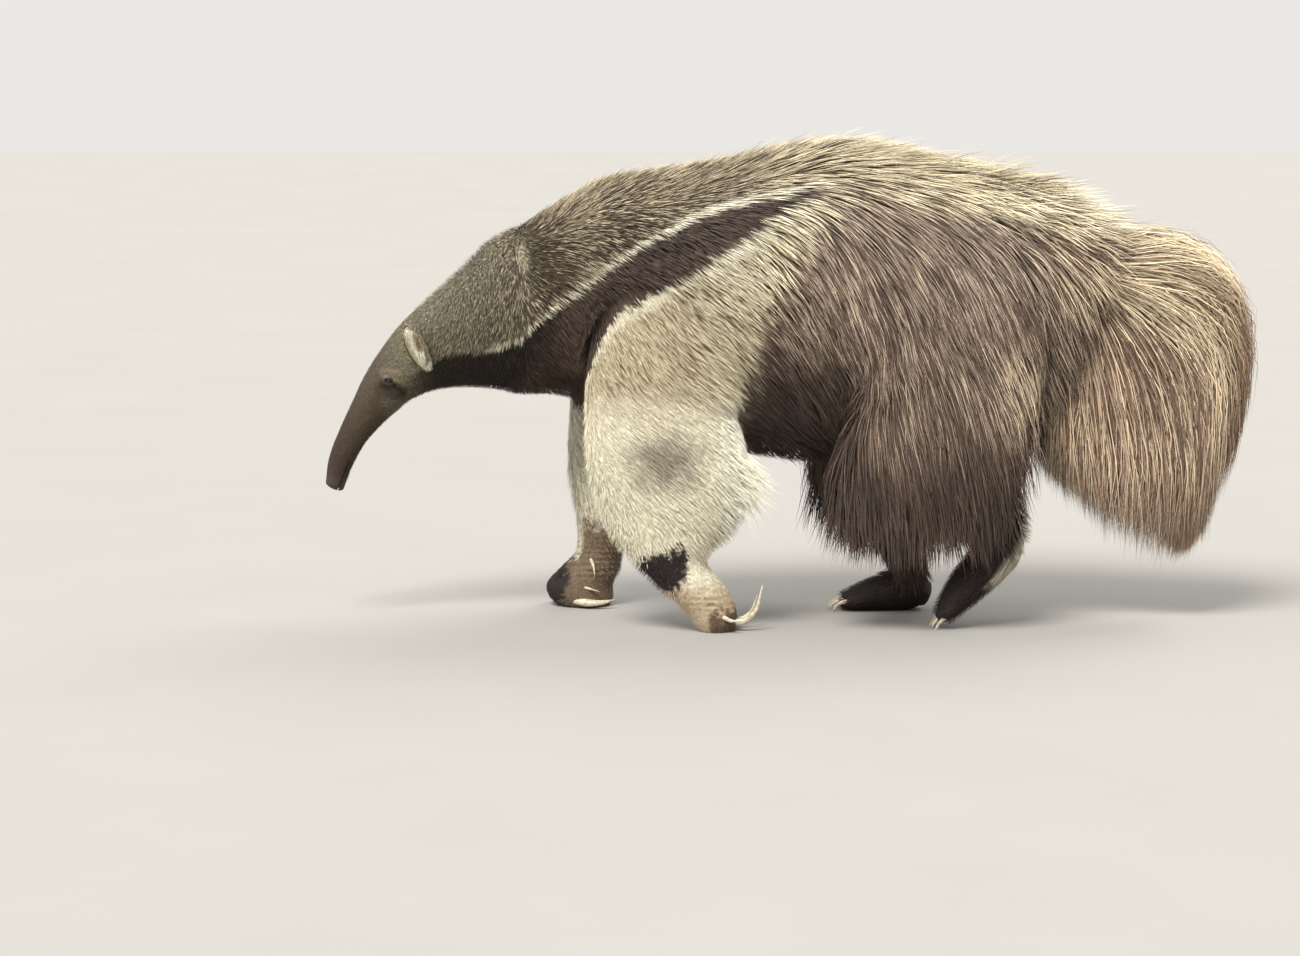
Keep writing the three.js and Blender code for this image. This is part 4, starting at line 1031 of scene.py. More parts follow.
def grow(roots, way, length, height, droop, segments):
    """Points along each hair, from its sunk root out over the skin to its tip."""
    normals = roots["normals"]
    way = unit(way - normals * dot(way, normals))
    way = unit(way + WAYWARD * rng.normal(size=way.shape))
    lift = np.minimum(0.9, 1.6 * height / length)[:, None]
    way = unit(way + normals * lift)
    at = roots["points"].copy()
    paths = [at - normals * ROOT_SUNK]
    steps = STEPS[segments]
    for number in range(1, segments + 1):
        t = steps[number]
        at = at + way * (length * (t - steps[number - 1]))[:, None]
        spots, skin_normals = nearest_on_skin(at)
        stands = dot(at - spots, skin_normals)
        wanted = (height * t ** 0.7)[:, None]
        at = at + skin_normals * np.maximum(wanted - stands, 0)
        close = ramp(2.5, 1.0, stands / np.maximum(wanted, 0.001))
        at = at - skin_normals * np.maximum(stands - wanted, 0) * 0.6 * close
        way = unit(at - paths[-1])
        way = unit(way - skin_normals * dot(way, skin_normals) * 0.7 * close)
        way = unit(way + DOWN * (droop * t)[:, None])
        paths.append(at)
    return np.array(paths)


def tail_limit(own):
    """How points lie in the tail's outline in side view: their direction from its middle,
    and their distance as a share of the outline's."""
    x = own[:, 0] - TAIL_MIDDLE[0]
    z = own[:, 2] - TAIL_MIDDLE[1]
    border = np.array(TAIL_OUTLINE) - TAIL_MIDDLE
    angles = np.arctan2(border[:, 1], border[:, 0])
    limit = np.interp(
        np.arctan2(z, x), *sorted_pair(angles, np.hypot(border[:, 0], border[:, 1])),
        period=2 * math.pi)
    radius = np.maximum(np.hypot(x, z), 1e-6)
    return np.stack((x / radius, np.zeros(len(x)), z / radius), axis=1), radius / limit


def tail_flow(own):
    """The way the tail's hair runs in side view: over its top and down to the hem."""
    x, _, z = own.T
    front = np.interp(z, FLOW_LEVELS, FLOW_FRONT)
    middle = np.interp(z, FLOW_LEVELS, FLOW_MIDDLE)
    rear = np.interp(z, FLOW_LEVELS, FLOW_REAR)
    middle = blend(front, middle, ramp(0.400, 0.500, x))
    return pointing(blend(middle, rear, ramp(0.560, 0.670, x)))


def sorted_pair(first, second):
    order = np.argsort(first)
    return first[order], second[order]


def hang(roots, segments):
    """The tail's hair: each one is followed in short steps to the hem, then shortened."""
    points, normals = roots["points"], roots["normals"]
    count = len(points)
    shell = 1.02 - 0.24 * rng.random(count) ** 1.5
    sideways = np.clip(np.abs(normals[:, 1]) + 0.30 * rng.random(count), 0, 1) * shell
    sideways = np.where(normals[:, 1] < 0, -sideways, sideways)
    stray = WAYWARD * rng.normal(size=(count, 3))
    along = along_limb(LIMBS["tail"], roots["place"])
    upward = np.cross(along, (0.0, -1.0, 0.0))
    upward = upward * np.sign(upward[:, 2:3] + 0.001)
    top = ramp(-0.10, 0.70, dot(normals, upward)[:, 0])
    longest = blend(rng.uniform(0.34, 0.46, count), rng.uniform(0.13, 0.26, count), top)
    widths = np.array(TAIL_WIDTHS)
    at = points - SHIFT
    trail = [at - normals * ROOT_SUNK]
    length = np.full(count, 0.02)
    ended = np.zeros(count, bool)
    for number in range(TAIL_STEPS):
        outward, out = tail_limit(at)
        hold = ramp(0.26, 0.40, at[:, 2]) * ramp(-0.75, -0.35, outward[:, 0]) * top
        push = np.clip((shell - out) * 5, -0.8, 0.6) * hold
        way = unit(tail_flow(at) + outward * push[:, None] + stray)
        at = at + way * TAIL_STEP
        wide = np.interp(at[:, 2], widths[:, 0], widths[:, 1])
        wide = sideways * wide * np.sqrt(1 - 0.80 * np.minimum(out, 1) ** 2)
        at[:, 1] = blend(at[:, 1], wide, 0.28)
        trail.append(at)
        ended = ended | (out > 0.60 + 0.42 * shell) & (at[:, 2] < 0.30)
        length = np.where(ended, length, (number + 1) * TAIL_STEP)
    length = np.minimum(length, longest) * rng.uniform(0.93, 1.06, count)
    trail = np.array(trail)
    everyone = np.arange(count)
    paths = []
    for t in STEPS[segments]:
        place = np.clip(length * t / TAIL_STEP, 0, TAIL_STEPS - 0.001)
        index = place.astype(int)
        between_steps = (place - index)[:, None]
        paths.append(mix(trail[index, everyone], trail[index + 1, everyone], between_steps) + SHIFT)
    return np.array(paths)


def clump(paths, share, pull):
    """Draws each hair towards a nearby guide hair, more so at its tip, so that locks form."""
    count = paths.shape[1]
    guides = rng.choice(count, size=max(1, int(count * share)), replace=False)
    tree = KDTree(len(guides))
    for number, guide in enumerate(guides):
        tree.insert(paths[0, guide], number)
    tree.balance()
    own = np.array([guides[tree.find(point)[1]] for point in paths[0]])
    for number in range(1, len(paths)):
        t = number / (len(paths) - 1)
        aim = paths[number][own] + LOCK_SPREAD * (paths[0] - paths[0][own])
        paths[number] += (aim - paths[number]) * (pull * t ** 1.3)
    return own


def soften(mesh, normals):
    """Lights each tuft mostly as the coat's own surface, so that the coat looks soft."""
    own = np.empty(len(mesh.vertices) * 3, np.float32)
    mesh.vertex_normals.foreach_get("vector", own)
    lit = own.reshape(len(normals), -1, 3) * (1 - COAT_LIT) + normals[:, None] * COAT_LIT
    mesh.normals_split_custom_set_from_vertices(unit(lit).reshape(-1, 3))


def strand_piece(name, paths, normals, width, shades, patches, material):
    """Closed three-sided tufts, flat and pointed at both ends, as one mesh."""
    segments = len(paths) - 1
    count = paths.shape[1]
    rings = segments - 1
    per = 3 * rings + 2
    steps = STEPS[segments]
    verts = np.empty((count, per, 3), np.float32)
    verts[:, 0] = paths[0]
    verts[:, -1] = paths[-1]
    triangles = [(0, 1, 2), (0, 2, 3), (0, 3, 1)]
    for number in range(rings):
        place = number + 1
        way = unit(paths[place + 1] - paths[place - 1])
        side = unit(np.cross(way, normals))
        up = np.cross(side, way)
        half = (width / 2 * (1 - steps[place]) ** 0.6)[:, None]
        first = 1 + 3 * number
        verts[:, first] = paths[place] + side * half
        verts[:, first + 1] = paths[place] + up * half * TUFT_THICK
        verts[:, first + 2] = paths[place] - side * half
        for corner in range(3):
            a = first + corner
            b = first + (corner + 1) % 3
            if number < rings - 1:
                triangles += [(a, a + 3, b + 3), (a, b + 3, b)]
            else:
                triangles.append((a, per - 1, b))
    triangles = np.array(triangles)
    faces = (triangles[None] + (np.arange(count) * per)[:, None, None]).reshape(-1, 3)
    mesh = bpy.data.meshes.new(name)
    mesh.vertices.add(count * per)
    mesh.vertices.foreach_set("co", verts.ravel())
    mesh.loops.add(faces.size)
    mesh.loops.foreach_set("vertex_index", faces.ravel().astype(np.int32))
    mesh.polygons.add(len(faces))
    mesh.polygons.foreach_set("loop_start", np.arange(0, faces.size, 3, dtype=np.int32))
    mesh.polygons.foreach_set("use_smooth", np.ones(len(faces), bool))
    mesh.update(calc_edges=True)
    row = (np.arange(per) + 2) // 3
    row[-1] = segments
    colours = np.ones((count, per, 4), np.float32)
    colours[:, :, :3] = shades[row].transpose(1, 0, 2)
    tone = mesh.attributes.new("Coat", "FLOAT_COLOR", "POINT")
    tone.data.foreach_set("color", colours.ravel())
    corner = (np.arange(per) + 2) % 3
    offset = np.stack((row / segments, corner / 2), axis=1) * PATCH_SIZE
    spread = (patches[:, None] * (1 - PATCH_SIZE) + offset[None]).reshape(-1, 2)
    layer = mesh.uv_layers.new(name="OFBake")
    layer.data.foreach_set("uv", spread[faces.ravel()].astype(np.float32).ravel())
    piece = bpy.data.objects.new(name, mesh)
    bpy.context.scene.collection.objects.link(piece)
    mesh.materials.append(material)
    return piece


# What the coat's pieces show where they are seen, kept for colouring the skin.
SEEN_COLOURS = []


def shade(base, tip, pale, own, segments, contrast=1.0):
    """Colours along each hair: its shaft, darker at the root, and a pale tip on a share."""
    count = len(base)
    is_pale = rng.random(count) < pale
    tone = 1 + 0.15 * contrast * rng.normal(size=count)
    lock_tone = 1 + 0.14 * contrast * rng.normal(size=count)[own]
    tone = np.clip(tone * lock_tone, 0.5, 1.7)[:, None]
    end = np.where(is_pale[:, None], tip, base * 1.15) * tone
    body = mix(base, tip, np.where(is_pale, 0.30, 0.0)) * tone
    root = base * (1 - 0.28 * contrast) * tone
    rows = []
    for t in STEPS[segments]:
        row = mix(root, body, min(1.0, t * 2.4))
        rows.append(mix(row, end, float(ramp(0.30, 0.85, t))))
    return np.clip(np.array(rows), 0.002, 0.95)


def seen_points(paths):
    """Where each hair shows, a little past its middle."""
    steps = STEPS[len(paths) - 1]
    number = next(n for n, t in enumerate(steps) if t > SEEN_AT)
    share = (SEEN_AT - steps[number - 1]) / (steps[number] - steps[number - 1])
    return paths[number - 1] + (paths[number] - paths[number - 1]) * share


def drawn_in(sideways):
    """Keeps the widest hair from standing far out to the side."""
    over = np.maximum(np.abs(sideways) - FULL_SIDE, 0)
    return sideways - np.sign(sideways) * over * DRAWN_IN


def coat(name, roots, paths, mark, look, slot, near=True, contrast=1.0):
    """Dresses grown hair as one piece of the coat and puts it in the frame. Its look is the
    tufts' width, their material, the share of guide hairs and the pull of their locks."""
    width, material, lock_share, pull = look
    segments = len(paths) - 1
    own = clump(paths, lock_share, pull)
    paths[:, :, 2] = np.maximum(paths[:, :, 2], FLOOR_GAP)
    paths[:, :, 1] = drawn_in(paths[:, :, 1] - SHIFT[1]) + SHIFT[1]
    seen = seen_points(paths)
    base, tip, pale = mark(seen, roots["normals"], near)
    SEEN_COLOURS.append((seen[::3], base[::3], tip[::3], pale[::3]))
    shades = shade(base, tip, pale, own, segments, contrast)
    fine = np.clip(np.linalg.norm(paths[-1] - paths[0], axis=1) / FULL_WIDTH_AT, 0.6, 1)
    widths = width * fine * rng.uniform(0.7, 1.25, len(base))
    piece = strand_piece(name, paths, roots["normals"], widths, shades, roots["patch"], material)
    soften(piece.data, roots.get("lit", roots["normals"]))
    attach(piece, "root")


def comb(roots, lie, segments):
    """Grows the hair of one piece, with its lengths varied from hair to hair."""
    way, length, height, droop = lie
    length = length * rng.uniform(0.75, 1.2, len(length))
    stray = rng.random(len(length)) < STRAYS
    height = height * np.where(stray, STRAY_HEIGHT, 1.0)
    return grow(roots, way, length, height, droop, segments)


# Materials

def new_material(name):
    material = bpy.data.materials.new(name)
    material.use_nodes = True
    tree = material.node_tree
    return material, tree, tree.nodes["Principled BSDF"]


def coat_material(name, roughness, gloss):
    """Hair whose colour comes from the markings, finely varied along each tuft."""
    material, tree, shader = new_material(name)
    colour = tree.nodes.new("ShaderNodeAttribute")
    colour.attribute_name = "Coat"
    place = tree.nodes.new("ShaderNodeTexCoord")
    noise = tree.nodes.new("ShaderNodeTexNoise")
    noise.inputs["Scale"].default_value = 260
    noise.inputs["Detail"].default_value = 2
    tree.links.new(place.outputs["Object"], noise.inputs["Vector"])
    levels = tree.nodes.new("ShaderNodeMapRange")
    levels.inputs["From Min"].default_value = 0.3
    levels.inputs["From Max"].default_value = 0.7
    levels.inputs["To Min"].default_value = 0.82
    levels.inputs["To Max"].default_value = 1.2
    tree.links.new(noise.outputs["Fac"], levels.inputs["Value"])
    vary = tree.nodes.new("ShaderNodeVectorMath")
    vary.operation = "SCALE"
    tree.links.new(colour.outputs["Color"], vary.inputs[0])
    tree.links.new(levels.outputs["Result"], vary.inputs["Scale"])
    tree.links.new(vary.outputs["Vector"], shader.inputs["Base Color"])
    shader.inputs["Roughness"].default_value = roughness
    shader.inputs["Specular IOR Level"].default_value = gloss
    return material


def add_bump(tree, shader, height, strength, distance):
    bump = tree.nodes.new("ShaderNodeBump")
    bump.inputs["Strength"].default_value = strength
    bump.inputs["Distance"].default_value = distance
    tree.links.new(height, bump.inputs["Height"])
    tree.links.new(bump.outputs["Normal"], shader.inputs["Normal"])


def skin_material():
    """Skin and underfur: the markings again, with a fine hairy relief."""
    material = coat_material("underfur", 0.75, 0.25)
    tree = material.node_tree
    shader = tree.nodes["Principled BSDF"]
    place = tree.nodes["Texture Coordinate"]
    stretch = tree.nodes.new("ShaderNodeMapping")
    stretch.inputs["Scale"].default_value = (220, 900, 420)
    fine = tree.nodes.new("ShaderNodeTexNoise")
    fine.inputs["Scale"].default_value = 1
    fine.inputs["Detail"].default_value = 3
    tree.links.new(place.outputs["Object"], stretch.inputs["Vector"])
    tree.links.new(stretch.outputs["Vector"], fine.inputs["Vector"])
    add_bump(tree, shader, fine.outputs["Fac"], 0.6, 0.0012)
    return material


def two_tone(name, first, second, scale, roughness, bump):
    """A noisy mix of two colours with a matching relief."""
    material, tree, shader = new_material(name)
    place = tree.nodes.new("ShaderNodeTexCoord")
    noise = tree.nodes.new("ShaderNodeTexNoise")
    noise.inputs["Scale"].default_value = scale
    noise.inputs["Detail"].default_value = 6
    tree.links.new(place.outputs["Object"], noise.inputs["Vector"])
    ramp_node = tree.nodes.new("ShaderNodeValToRGB")
    ramp_node.color_ramp.elements[0].position = 0.35
    ramp_node.color_ramp.elements[0].color = (*first, 1)
    ramp_node.color_ramp.elements[1].position = 0.68
    ramp_node.color_ramp.elements[1].color = (*second, 1)
    tree.links.new(noise.outputs["Fac"], ramp_node.inputs["Fac"])
    tree.links.new(ramp_node.outputs["Color"], shader.inputs["Base Color"])
    shader.inputs["Roughness"].default_value = roughness
    add_bump(tree, shader, noise.outputs["Fac"], 0.5, bump)
    return material


def eye_material():
    """A wet, nearly black eye with a brown glow in it."""
    material = two_tone("wet eye", linear(9, 6, 5), linear(28, 17, 10), 120, 0.34, 0.0001)
    shader = material.node_tree.nodes["Principled BSDF"]
    shader.inputs["Coat Weight"].default_value = 0.15
    shader.inputs["Coat Roughness"].default_value = 0.15
    return material


FUR_SHORT = coat_material("short fur", 0.62, 0.30)
FUR_LONG = coat_material("long hair", 0.56, 0.34)
UNDERFUR = skin_material()
NOSE = two_tone("nose leather", linear(30, 23, 20), linear(54, 42, 36), 900, 0.55, 0.0006)
CLAW = two_tone("claw horn", linear(158, 148, 128), linear(204, 195, 172), 160, 0.36, 0.0003)
EYE_WET = eye_material()
EAR_SKIN = two_tone("ear skin", linear(120, 108, 84), linear(176, 164, 128), 300, 0.6, 0.0005)
EAR_LINING = two_tone("ear lining", linear(206, 190, 172), linear(232, 222, 206), 300, 0.6, 0.0005)


# Coat pieces

# Pieces of the body's coat run into each other over this length.
PIECES_MEET = 0.012
# Fur thins out between these distances from the middle of the eye and from the nose's tip.
BARE_ROUND_EYE = (0.0098, 0.0120)
BARE_NOSE = (0.014, 0.024)


def between(low, high):
    """A share of roots for each point: all of them from low to high along x."""
    def share(points):
        x = points[:, 0] - SHIFT[0]
        return ramp(low, low + PIECES_MEET, x) * ramp(high + PIECES_MEET, high, x)
    return share


def bare_face(points):
    """No fur on the eyes and the tip of the nose."""
    own = points - SHIFT
    share = np.ones(len(own))
    for side in SIDES.values():
        gap = np.linalg.norm(own - (EYE["x"], side * EYE["y"], EYE["z"]), axis=1)
        share = share * ramp(*BARE_ROUND_EYE, gap)
    tip = np.array(HEAD_AND_NECK[0])
    to_tip = np.hypot(own[:, 0] - tip[0], own[:, 2] - tip[1])
    return share * ramp(*BARE_NOSE, to_tip)


# Looks of the coat's pieces: width of a tuft, material, share of guide hairs, pull of locks.
HEAD_LOOK = (0.0013, FUR_SHORT, 0.5, 0.2)
NECK_LOOK = (0.0015, FUR_SHORT, 0.35, 0.3)
CHEST_LOOK = (0.0019, FUR_LONG, 0.30, 0.30)
LOINS_LOOK = (0.0024, FUR_LONG, 0.17, 0.42)
FORELEG_LOOK = (0.0015, FUR_SHORT, 0.5, 0.12)
THIGH_LOOK = (0.0025, FUR_LONG, 0.17, 0.42)
SHANK_LOOK = (0.0022, FUR_LONG, 0.2, 0.4)
FOOT_LOOK = (0.0015, FUR_SHORT, 0.4, 0.3)
TAIL_LOOK = (0.0024, FUR_LONG, 0.14, 0.35)
# The forelegs' hairs are nearly alike in tone.
FORELEG_CONTRAST = 0.3


def grow_body():
    part = LIMBS["body"]
    pieces = [
        ("coat_head", -0.69, -0.45, 25500, HEAD_LOOK, "coat_head"),
        ("coat_neck", -0.45, -0.30, 21000, NECK_LOOK, "coat_head"),
        ("coat_chest", -0.30, -0.06, 22500, CHEST_LOOK, "coat_torso"),
    ]
    for name, low, high, count, look, slot in pieces:
        span = between(low, high)
        roots = sow(part, count, lambda points, span=span: span(points) * bare_face(points))
        paths = comb(roots, body_lie(roots, part), 2)
        coat(name, roots, paths, body_markings, look, slot)
    span = between(-0.06, 0.45)
    for side, is_side in HALVES.items():
        roots = sow(part, 12000, lambda points, is_side=is_side: span(points) * is_side(points))
        paths = comb(roots, body_lie(roots, part), 3)
        coat(f"coat_loins_{side}", roots, paths, body_markings, LOINS_LOOK, "coat_torso")


HALVES = {
    "left": lambda points: points[:, 1] < SHIFT[1],
    "right": lambda points: points[:, 1] >= SHIFT[1],
}


def everywhere(points):
    return np.ones(len(points))


def grow_forelegs(side, near):
    part = LIMBS[f"foreleg_{side}"]
    roots = sow(part, 19500, everywhere)
    paths = comb(roots, foreleg_lie(roots, part), 2)
    # Light falls on the leg as on one rounded form, open to the side and a little upwards
    outward = roots["normals"] * (0.15, 1.0, 1.0)
    roots["lit"] = unit(outward + (0.0, 0.7 * SIDES[side], 0.25))
    coat(f"coat_foreleg_{side}", roots, paths, foreleg_markings, FORELEG_LOOK, "coat_foreleg",
         near, FORELEG_CONTRAST)


def grow_legs():
    hind_pieces = [
        ("thigh", 7600, thigh_lie, 3, hind_markings, THIGH_LOOK, "coat_hind"),
        ("shank", 2800, shank_lie, 2, hind_markings, SHANK_LOOK, "coat_hind"),
        ("foot", 2800, foot_lie, 2, foot_markings, FOOT_LOOK, "paw"),
    ]
    for side in SIDES:
        near = side == "left"
        grow_forelegs(side, near)
        for name, count, lie, segments, mark, look, slot in hind_pieces:
            part = LIMBS[f"{name}_{side}"]
            roots = sow(part, count, everywhere)
            paths = comb(roots, lie(roots, part), segments)
            coat(f"coat_{name}_{side}", roots, paths, mark, look, slot, near)


def under_tail(points, normals):
    """Where the rump hides the tail's root: hair grows out from there as well."""
    x = points[:, 0] - SHIFT[0]
    return (x < 0.46) & ((normals[:, 2] < 0.2) | (x > 0.385))


def grow_tail():
    part = LIMBS["tail"]
    for side, is_side in HALVES.items():
        roots = sow(part, 7900, is_side, under_tail)
        paths = hang(roots, 4)
        middle = paths[2] - SHIFT - (TAIL_MIDDLE[0], 0, TAIL_MIDDLE[1])
        roots["lit"] = unit(middle / TAIL_FORM)
        coat(f"coat_tail_{side}", roots, paths, tail_markings, TAIL_LOOK, "coat_tail")


grow_body()
grow_legs()
grow_tail()


# Skin colours follow what the coat shows

# The skin is this much darker than the coat over it.
SKIN_DARK = 0.75


def colour_skin():
    """The skin under the coat carries the coat's markings, a little darker."""
    points, shafts, tips, pale = [np.concatenate(column) for column in zip(*SEEN_COLOURS)]
    colours = mix(shafts, tips, 0.6 * pale) * SKIN_DARK
    tree = KDTree(len(points))
    for number, point in enumerate(points):
        tree.insert(point, number)
    tree.balance()
    mesh = skin.data
    tones = np.ones((len(mesh.vertices), 4), np.float32)
    for number, vert in enumerate(mesh.vertices):
        tones[number, :3] = colours[tree.find(vert.co)[1]]
    tone = mesh.attributes.new("Coat", "FLOAT_COLOR", "POINT")
    tone.data.foreach_set("color", tones.ravel())


# Bare dark skin reaches this far from the middle of the eye and from the nose's tip.
LID_RIM = 0.0101
NOSE_REACH = 0.021


def dress_skin():
    colour_skin()
    mesh = skin.data
    mesh.materials.clear()
    mesh.materials.append(UNDERFUR)
    mesh.materials.append(NOSE)
    tip = in_frame(HEAD_AND_NECK[0][0], 0, HEAD_AND_NECK[0][1])
    eyes = [eye_centre(side) for side in SIDES.values()]
    for polygon in mesh.polygons:
        polygon.use_smooth = True
        bare = (polygon.center - tip).length < NOSE_REACH
        bare = bare or min((polygon.center - eye).length for eye in eyes) < LID_RIM
        polygon.material_index = 1 if bare else 0
    flesh = ["head", "neck", "torso_front", "torso_rear", "tail_base", "tail_middle", "tail_tip"]
    for side in SIDES:
        flesh += [f"foreleg_{side}_upper", f"foreleg_{side}_lower", f"forepaw_{side}"]
        flesh += [f"hind_leg_{side}_thigh", f"hind_leg_{side}_shank", f"hind_foot_{side}"]
    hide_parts(*flesh)
    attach(skin, "root")


dress_skin()


# Eyes and lids

def make_eye(name, side):
    radius = EYE["radius"]
    eye = ball(f"eyeball_{name}", eye_centre(side), (radius, radius, radius))
    eye.data.materials.append(EYE_WET)
    smooth(eye)
    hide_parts(f"eye_{name}")
    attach(eye, "root")


def smooth(piece):
    for polygon in piece.data.polygons:
        polygon.use_smooth = True


# Ears

def ear_matrix(side):
    """Turns an ear from its own frame, opening to -X and upright, to its place."""
    place = Matrix.Translation(in_frame(EAR["x"], side * EAR["y"], EAR["z"]))
    tilt = Matrix.Rotation(math.radians(-EAR["tilt"]), 4, "Y")
    turn = Matrix.Rotation(math.radians(side * -EAR["turn"]), 4, "Z")
    return place @ tilt @ turn


def make_ear(name, side):
    """A rounded cup, open to the front and outside, with a thin rolled rim."""
    bm = bmesh.new()
    halves = Matrix.Diagonal((EAR["out"], EAR["wide"], EAR["long"], 1))
    bmesh.ops.create_uvsphere(bm, u_segments=32, v_segments=20, radius=1, matrix=halves)
    bmesh.ops.bisect_plane(
        bm, geom=bm.verts[:] + bm.edges[:] + bm.faces[:],
        plane_co=(-EAR["out"] * CUP_OPENS, 0, 0), plane_no=(-1, 0, 0), clear_outer=True,
    )
    bmesh.ops.transform(bm, matrix=ear_matrix(side), verts=bm.verts)
    bmesh.ops.recalc_face_normals(bm, faces=bm.faces)
    ear = finished(bm, f"ear_cup_{name}")
    wall = ear.modifiers.new("wall", "SOLIDIFY")
    wall.thickness = EAR["wall"]
    wall.offset = -1
    soft = ear.modifiers.new("soft", "SUBSURF")
    soft.levels = 1
    soft.render_levels = 1
    apply_modifiers(ear)
    ear.data.materials.clear()
    ear.data.materials.append(EAR_SKIN)
    smooth(ear)
    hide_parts(f"ear_{name}")
    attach(ear, "root")
    line_ear(name, side)
    grow_ear(name, side)


def line_ear(name, side):
    """The shallow pale hollow of the ear, under its white hair."""
    matrix = ear_matrix(side) @ Matrix.Translation((EAR["out"] * HOLLOW_MIDDLE, 0, 0))
    halves = (EAR["out"] * HOLLOW_DEEP, EAR["wide"] - EAR["wall"], EAR["long"] - EAR["wall"])
    bm = bmesh.new()
    bmesh.ops.create_uvsphere(
        bm, u_segments=32, v_segments=20, radius=1, matrix=matrix @ Matrix.Diagonal((*halves, 1)))
    lining = finished(bm, f"ear_hollow_{name}")
    lining.data.materials.append(EAR_LINING)
    smooth(lining)
    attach(lining, "root")


# The ears' hairs are about alike in tone.
EAR_CONTRAST = 0.5


def grow_ear(name, side):
    """Short hair over the back and rim of the ear, and long white hair that fills its cup."""
    matrix = np.array(ear_matrix(side))
    upward = matrix[:3, 2]
    outward = -matrix[:3, 0]
    halves = np.array((EAR["out"], EAR["wide"], EAR["long"]))
    kinds = [
        ("back", 2200, 1.0, 0.0065, GRIZZLE, GRIZZLE_TIP, 0.45, 0.95 * upward),
        ("cup", 4200, -1.0, 0.0140, WHITE, WHITE, 0.97, 0.20 * outward - 0.95 * upward),
    ]
    for kind, count, facing, long, base, tip, pale, lie in kinds:
        turn = rng.uniform(-math.pi, math.pi, count)
        rise = np.arcsin(rng.uniform(-0.93, 0.99, count))
        ball_points = np.stack(
            (np.cos(rise) * np.cos(turn), np.cos(rise) * np.sin(turn), np.sin(rise)), axis=1)
        kept = ball_points[:, 0] > (-0.30 if facing > 0 else 0.10)
        ball_points = ball_points[kept]
        if facing > 0:
            local = ball_points * halves
            away = unit(ball_points / halves)
        else:
            hollow = halves * (HOLLOW_DEEP, 0.84, 0.92)
            flipped = ball_points * (-1, 1, 1)
            local = flipped * hollow + (halves[0] * HOLLOW_MIDDLE, 0, 0)
            away = unit(flipped / hollow)
        points = local @ matrix[:3, :3].T + matrix[:3, 3]
        normals = away @ matrix[:3, :3].T
        way = unit(lie - normals * dot(normals, lie[None]) + 0.2 * normals)
        way = unit(way + 0.15 * rng.normal(size=way.shape))
        length = long * rng.uniform(0.7, 1.2, len(points))[:, None]
        paths = np.array([
            points - normals * 0.0006,
            points + way * length * 0.38 + normals * 0.0010,
            points + way * length + normals * 0.0008,
        ])
        patches = np.stack(((turn[kept] / math.pi + 1) / 2, rise[kept] / math.pi + 0.5), axis=1)
        # The front rim is sandy, and painted shade darkens the upper part of the hollow behind the
        # white hair
        across = side * local[:, 1] / EAR["wide"]
        rim = ramp(0.20, 0.55 if facing < 0 else 0.60, -across)
        shadow = ramp(0.10, 0.55, across) * ramp(-0.25, 0.20, local[:, 2] / EAR["long"])
        base = mix(base, EAR_SAND * 0.6, rim)
        tip = mix(tip, EAR_SAND, rim)
        if facing < 0:
            base = mix(base, EAR_SHADE, shadow)
            tip = mix(tip, EAR_SHADE, shadow)
        everyone = np.arange(len(points))
        shades = shade(base, tip, np.full(len(points), pale), everyone, 2, EAR_CONTRAST)
        widths = rng.uniform(0.0009, 0.0016, len(points))
        piece = strand_piece(
            f"coat_ear_{kind}_{name}", paths, normals, widths, shades, patches, FUR_SHORT)
        soften(piece.data, normals)
        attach(piece, "root")


# Claws

CLAW_RINGS = 14
# How much of its thickness a claw loses towards its point, and its width against its depth.
CLAW_TAPER = 0.88
CLAW_FLAT = 0.8
CLAW_OFF_FLOOR = 0.0003


def make_claw(node, path, thick):
    """A smooth curved claw, deeper than it is wide, tapering to a blunt point."""
    rings = CLAW_RINGS
    centres = smooth_stations(path, rings) + SHIFT
    along = unit(np.gradient(centres, axis=0))
    bend = np.cross(along[0], centres[rings // 2] - centres[0])
    sideways = unit(bend)
    bm = bmesh.new()
    before = None
    for number in range(rings):
        t = number / (rings - 1)
        half = thick / 2 * (1 - CLAW_TAPER * t ** 1.6)
        across = unit(sideways - along[number] * np.dot(along[number], sideways))
        up = np.cross(along[number], across)
        made = bmesh.ops.create_circle(
            bm, segments=14, radius=1, cap_ends=number in (0, rings - 1),
            matrix=ring_matrix(centres[number], across * half * CLAW_FLAT, up * half),
        )
        edges = list({edge for vert in made["verts"] for edge in vert.link_edges})
        if before:
            bmesh.ops.bridge_loops(bm, edges=before + edges)
        before = edges
    bmesh.ops.recalc_face_normals(bm, faces=bm.faces)
    claw = finished(bm, f"{node}_horn")
    for vert in claw.data.vertices:
        vert.co.z = max(vert.co.z, CLAW_OFF_FLOOR)
    claw.data.materials.append(CLAW)
    smooth(claw)
    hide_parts(node)
    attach(claw, "root")


def make_claws():
    for side, claws in FORE_CLAWS.items():
        for digit, (path, thick) in claws.items():
            make_claw(f"foreclaw_{side}_{digit}", path, thick)
    for side, claws in HIND_CLAWS.items():
        for toe in range(TOES):
            reach = toe / (TOES - 1) * 2 - 1
            y = claws["middle"] + claws["spread"] * reach
            back = CLAW_SPREAD_BACK * reach * reach
            path = [(x + back, y, z) for x, z in claws["path"]]
            make_claw(f"hindclaw_{side}_{toe + 1}", path, HIND_CLAW_THICK)


for side_name, side_sign in SIDES.items():
    make_eye(side_name, side_sign)
    make_ear(side_name, side_sign)
make_claws()


# Floor, lights and camera

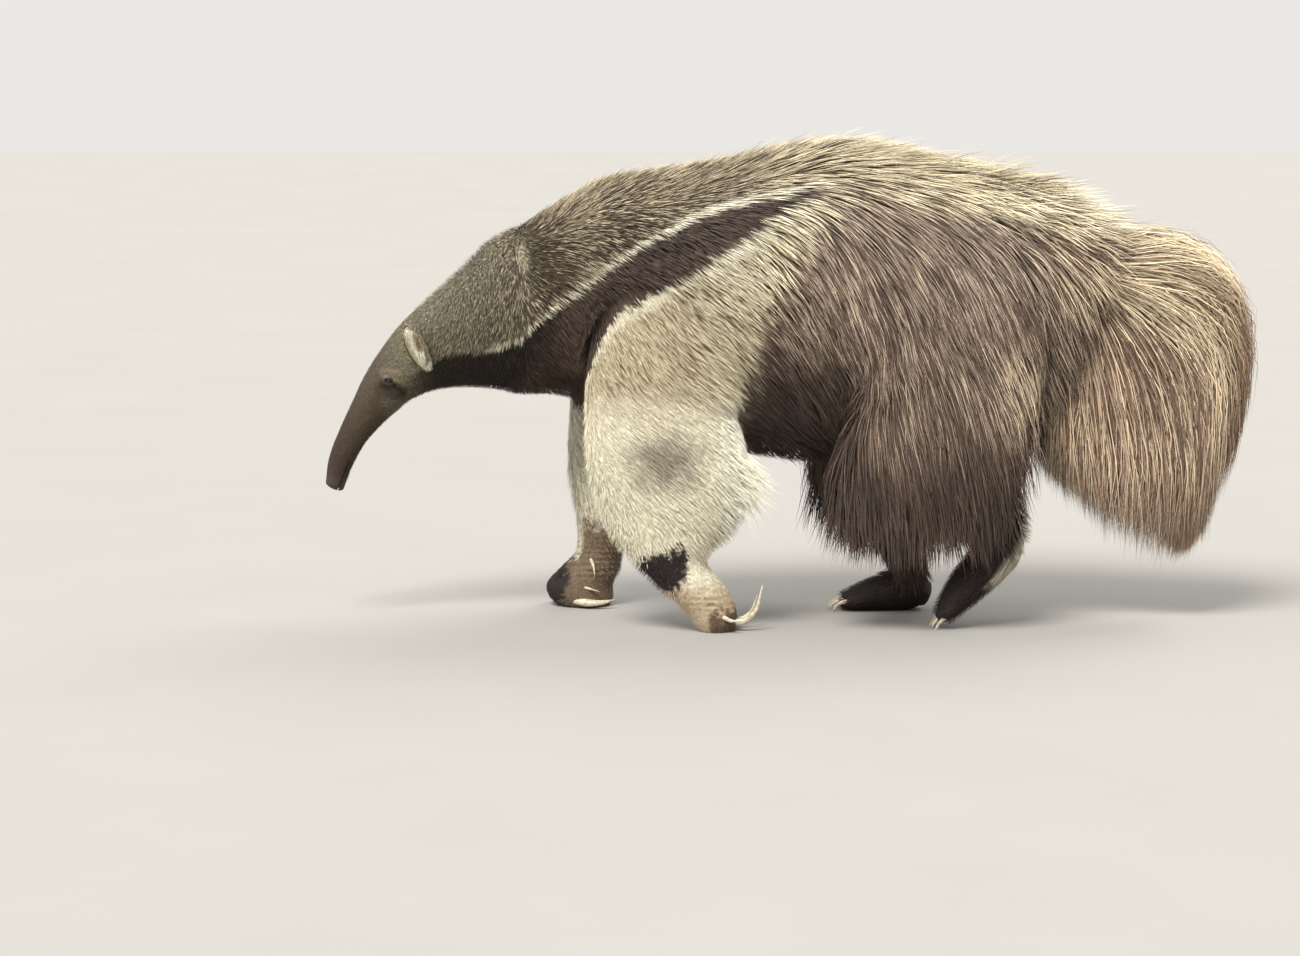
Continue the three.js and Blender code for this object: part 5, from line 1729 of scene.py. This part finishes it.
def make_floor():
    bm = bmesh.new()
    bmesh.ops.create_grid(bm, x_segments=1, y_segments=1, size=12)
    floor = finished(bm, "floor")
    floor.data.materials.append(
        two_tone("pale floor", linear(147, 145, 141), linear(149, 147, 143), 3, 0.85, 0.0))


def sun_light(name, towards, strength, spread, warmth):
    """Soft light from far away, so that the floor is lit evenly."""
    data = bpy.data.lights.new(name, "SUN")
    data.angle = math.radians(spread)
    data.energy = strength
    data.color = warmth
    lamp = bpy.data.objects.new(name, data)
    lamp.rotation_euler = Vector(towards).to_track_quat("-Z", "Y").to_euler()
    bpy.context.scene.collection.objects.link(lamp)


def make_lights():
    sun_light("key", (0.8, 1.7, -2.6), 4.6, 24, (1.0, 0.97, 0.92))
    sun_light("fill", (2.0, 0.6, -1.0), 1.2, 60, (0.97, 0.98, 1.0))
    sun_light("rear", (-1.6, -1.4, -2.2), 1.8, 40, (1.0, 0.98, 0.94))
    world = bpy.data.worlds.new("studio")
    world.use_nodes = True
    background = world.node_tree.nodes["Background"]
    background.inputs["Color"].default_value = (0.92, 0.90, 0.87, 1)
    background.inputs["Strength"].default_value = 0.90
    bpy.context.scene.world = world
    bpy.context.scene.view_settings.view_transform = "Standard"


# The photo's frame: 1300 by 956, with 1.5 mm of the animal to each of its pixels.
IMAGE_WIDE = 1300
METRES_PER_PIXEL = 0.0015
CAMERA_FAR = 6.0
CAMERA_RISE = 8.0
SENSOR_WIDE = 36
# The point that the camera looks at.
AIM = (-0.206, 0.0, 0.212)


def make_camera():
    data = bpy.data.cameras.new("camera")
    data.sensor_width = SENSOR_WIDE
    data.lens = SENSOR_WIDE * CAMERA_FAR / (IMAGE_WIDE * METRES_PER_PIXEL)
    camera = bpy.data.objects.new("camera", data)
    bpy.context.scene.collection.objects.link(camera)
    rise = math.radians(CAMERA_RISE)
    aim = in_frame(*AIM)
    back = Vector((0, -math.cos(rise), math.sin(rise)))
    camera.location = aim + back * CAMERA_FAR
    camera.rotation_euler = (-back).to_track_quat("-Z", "Y").to_euler()
    bpy.context.scene.camera = camera


make_floor()
make_lights()
make_camera()
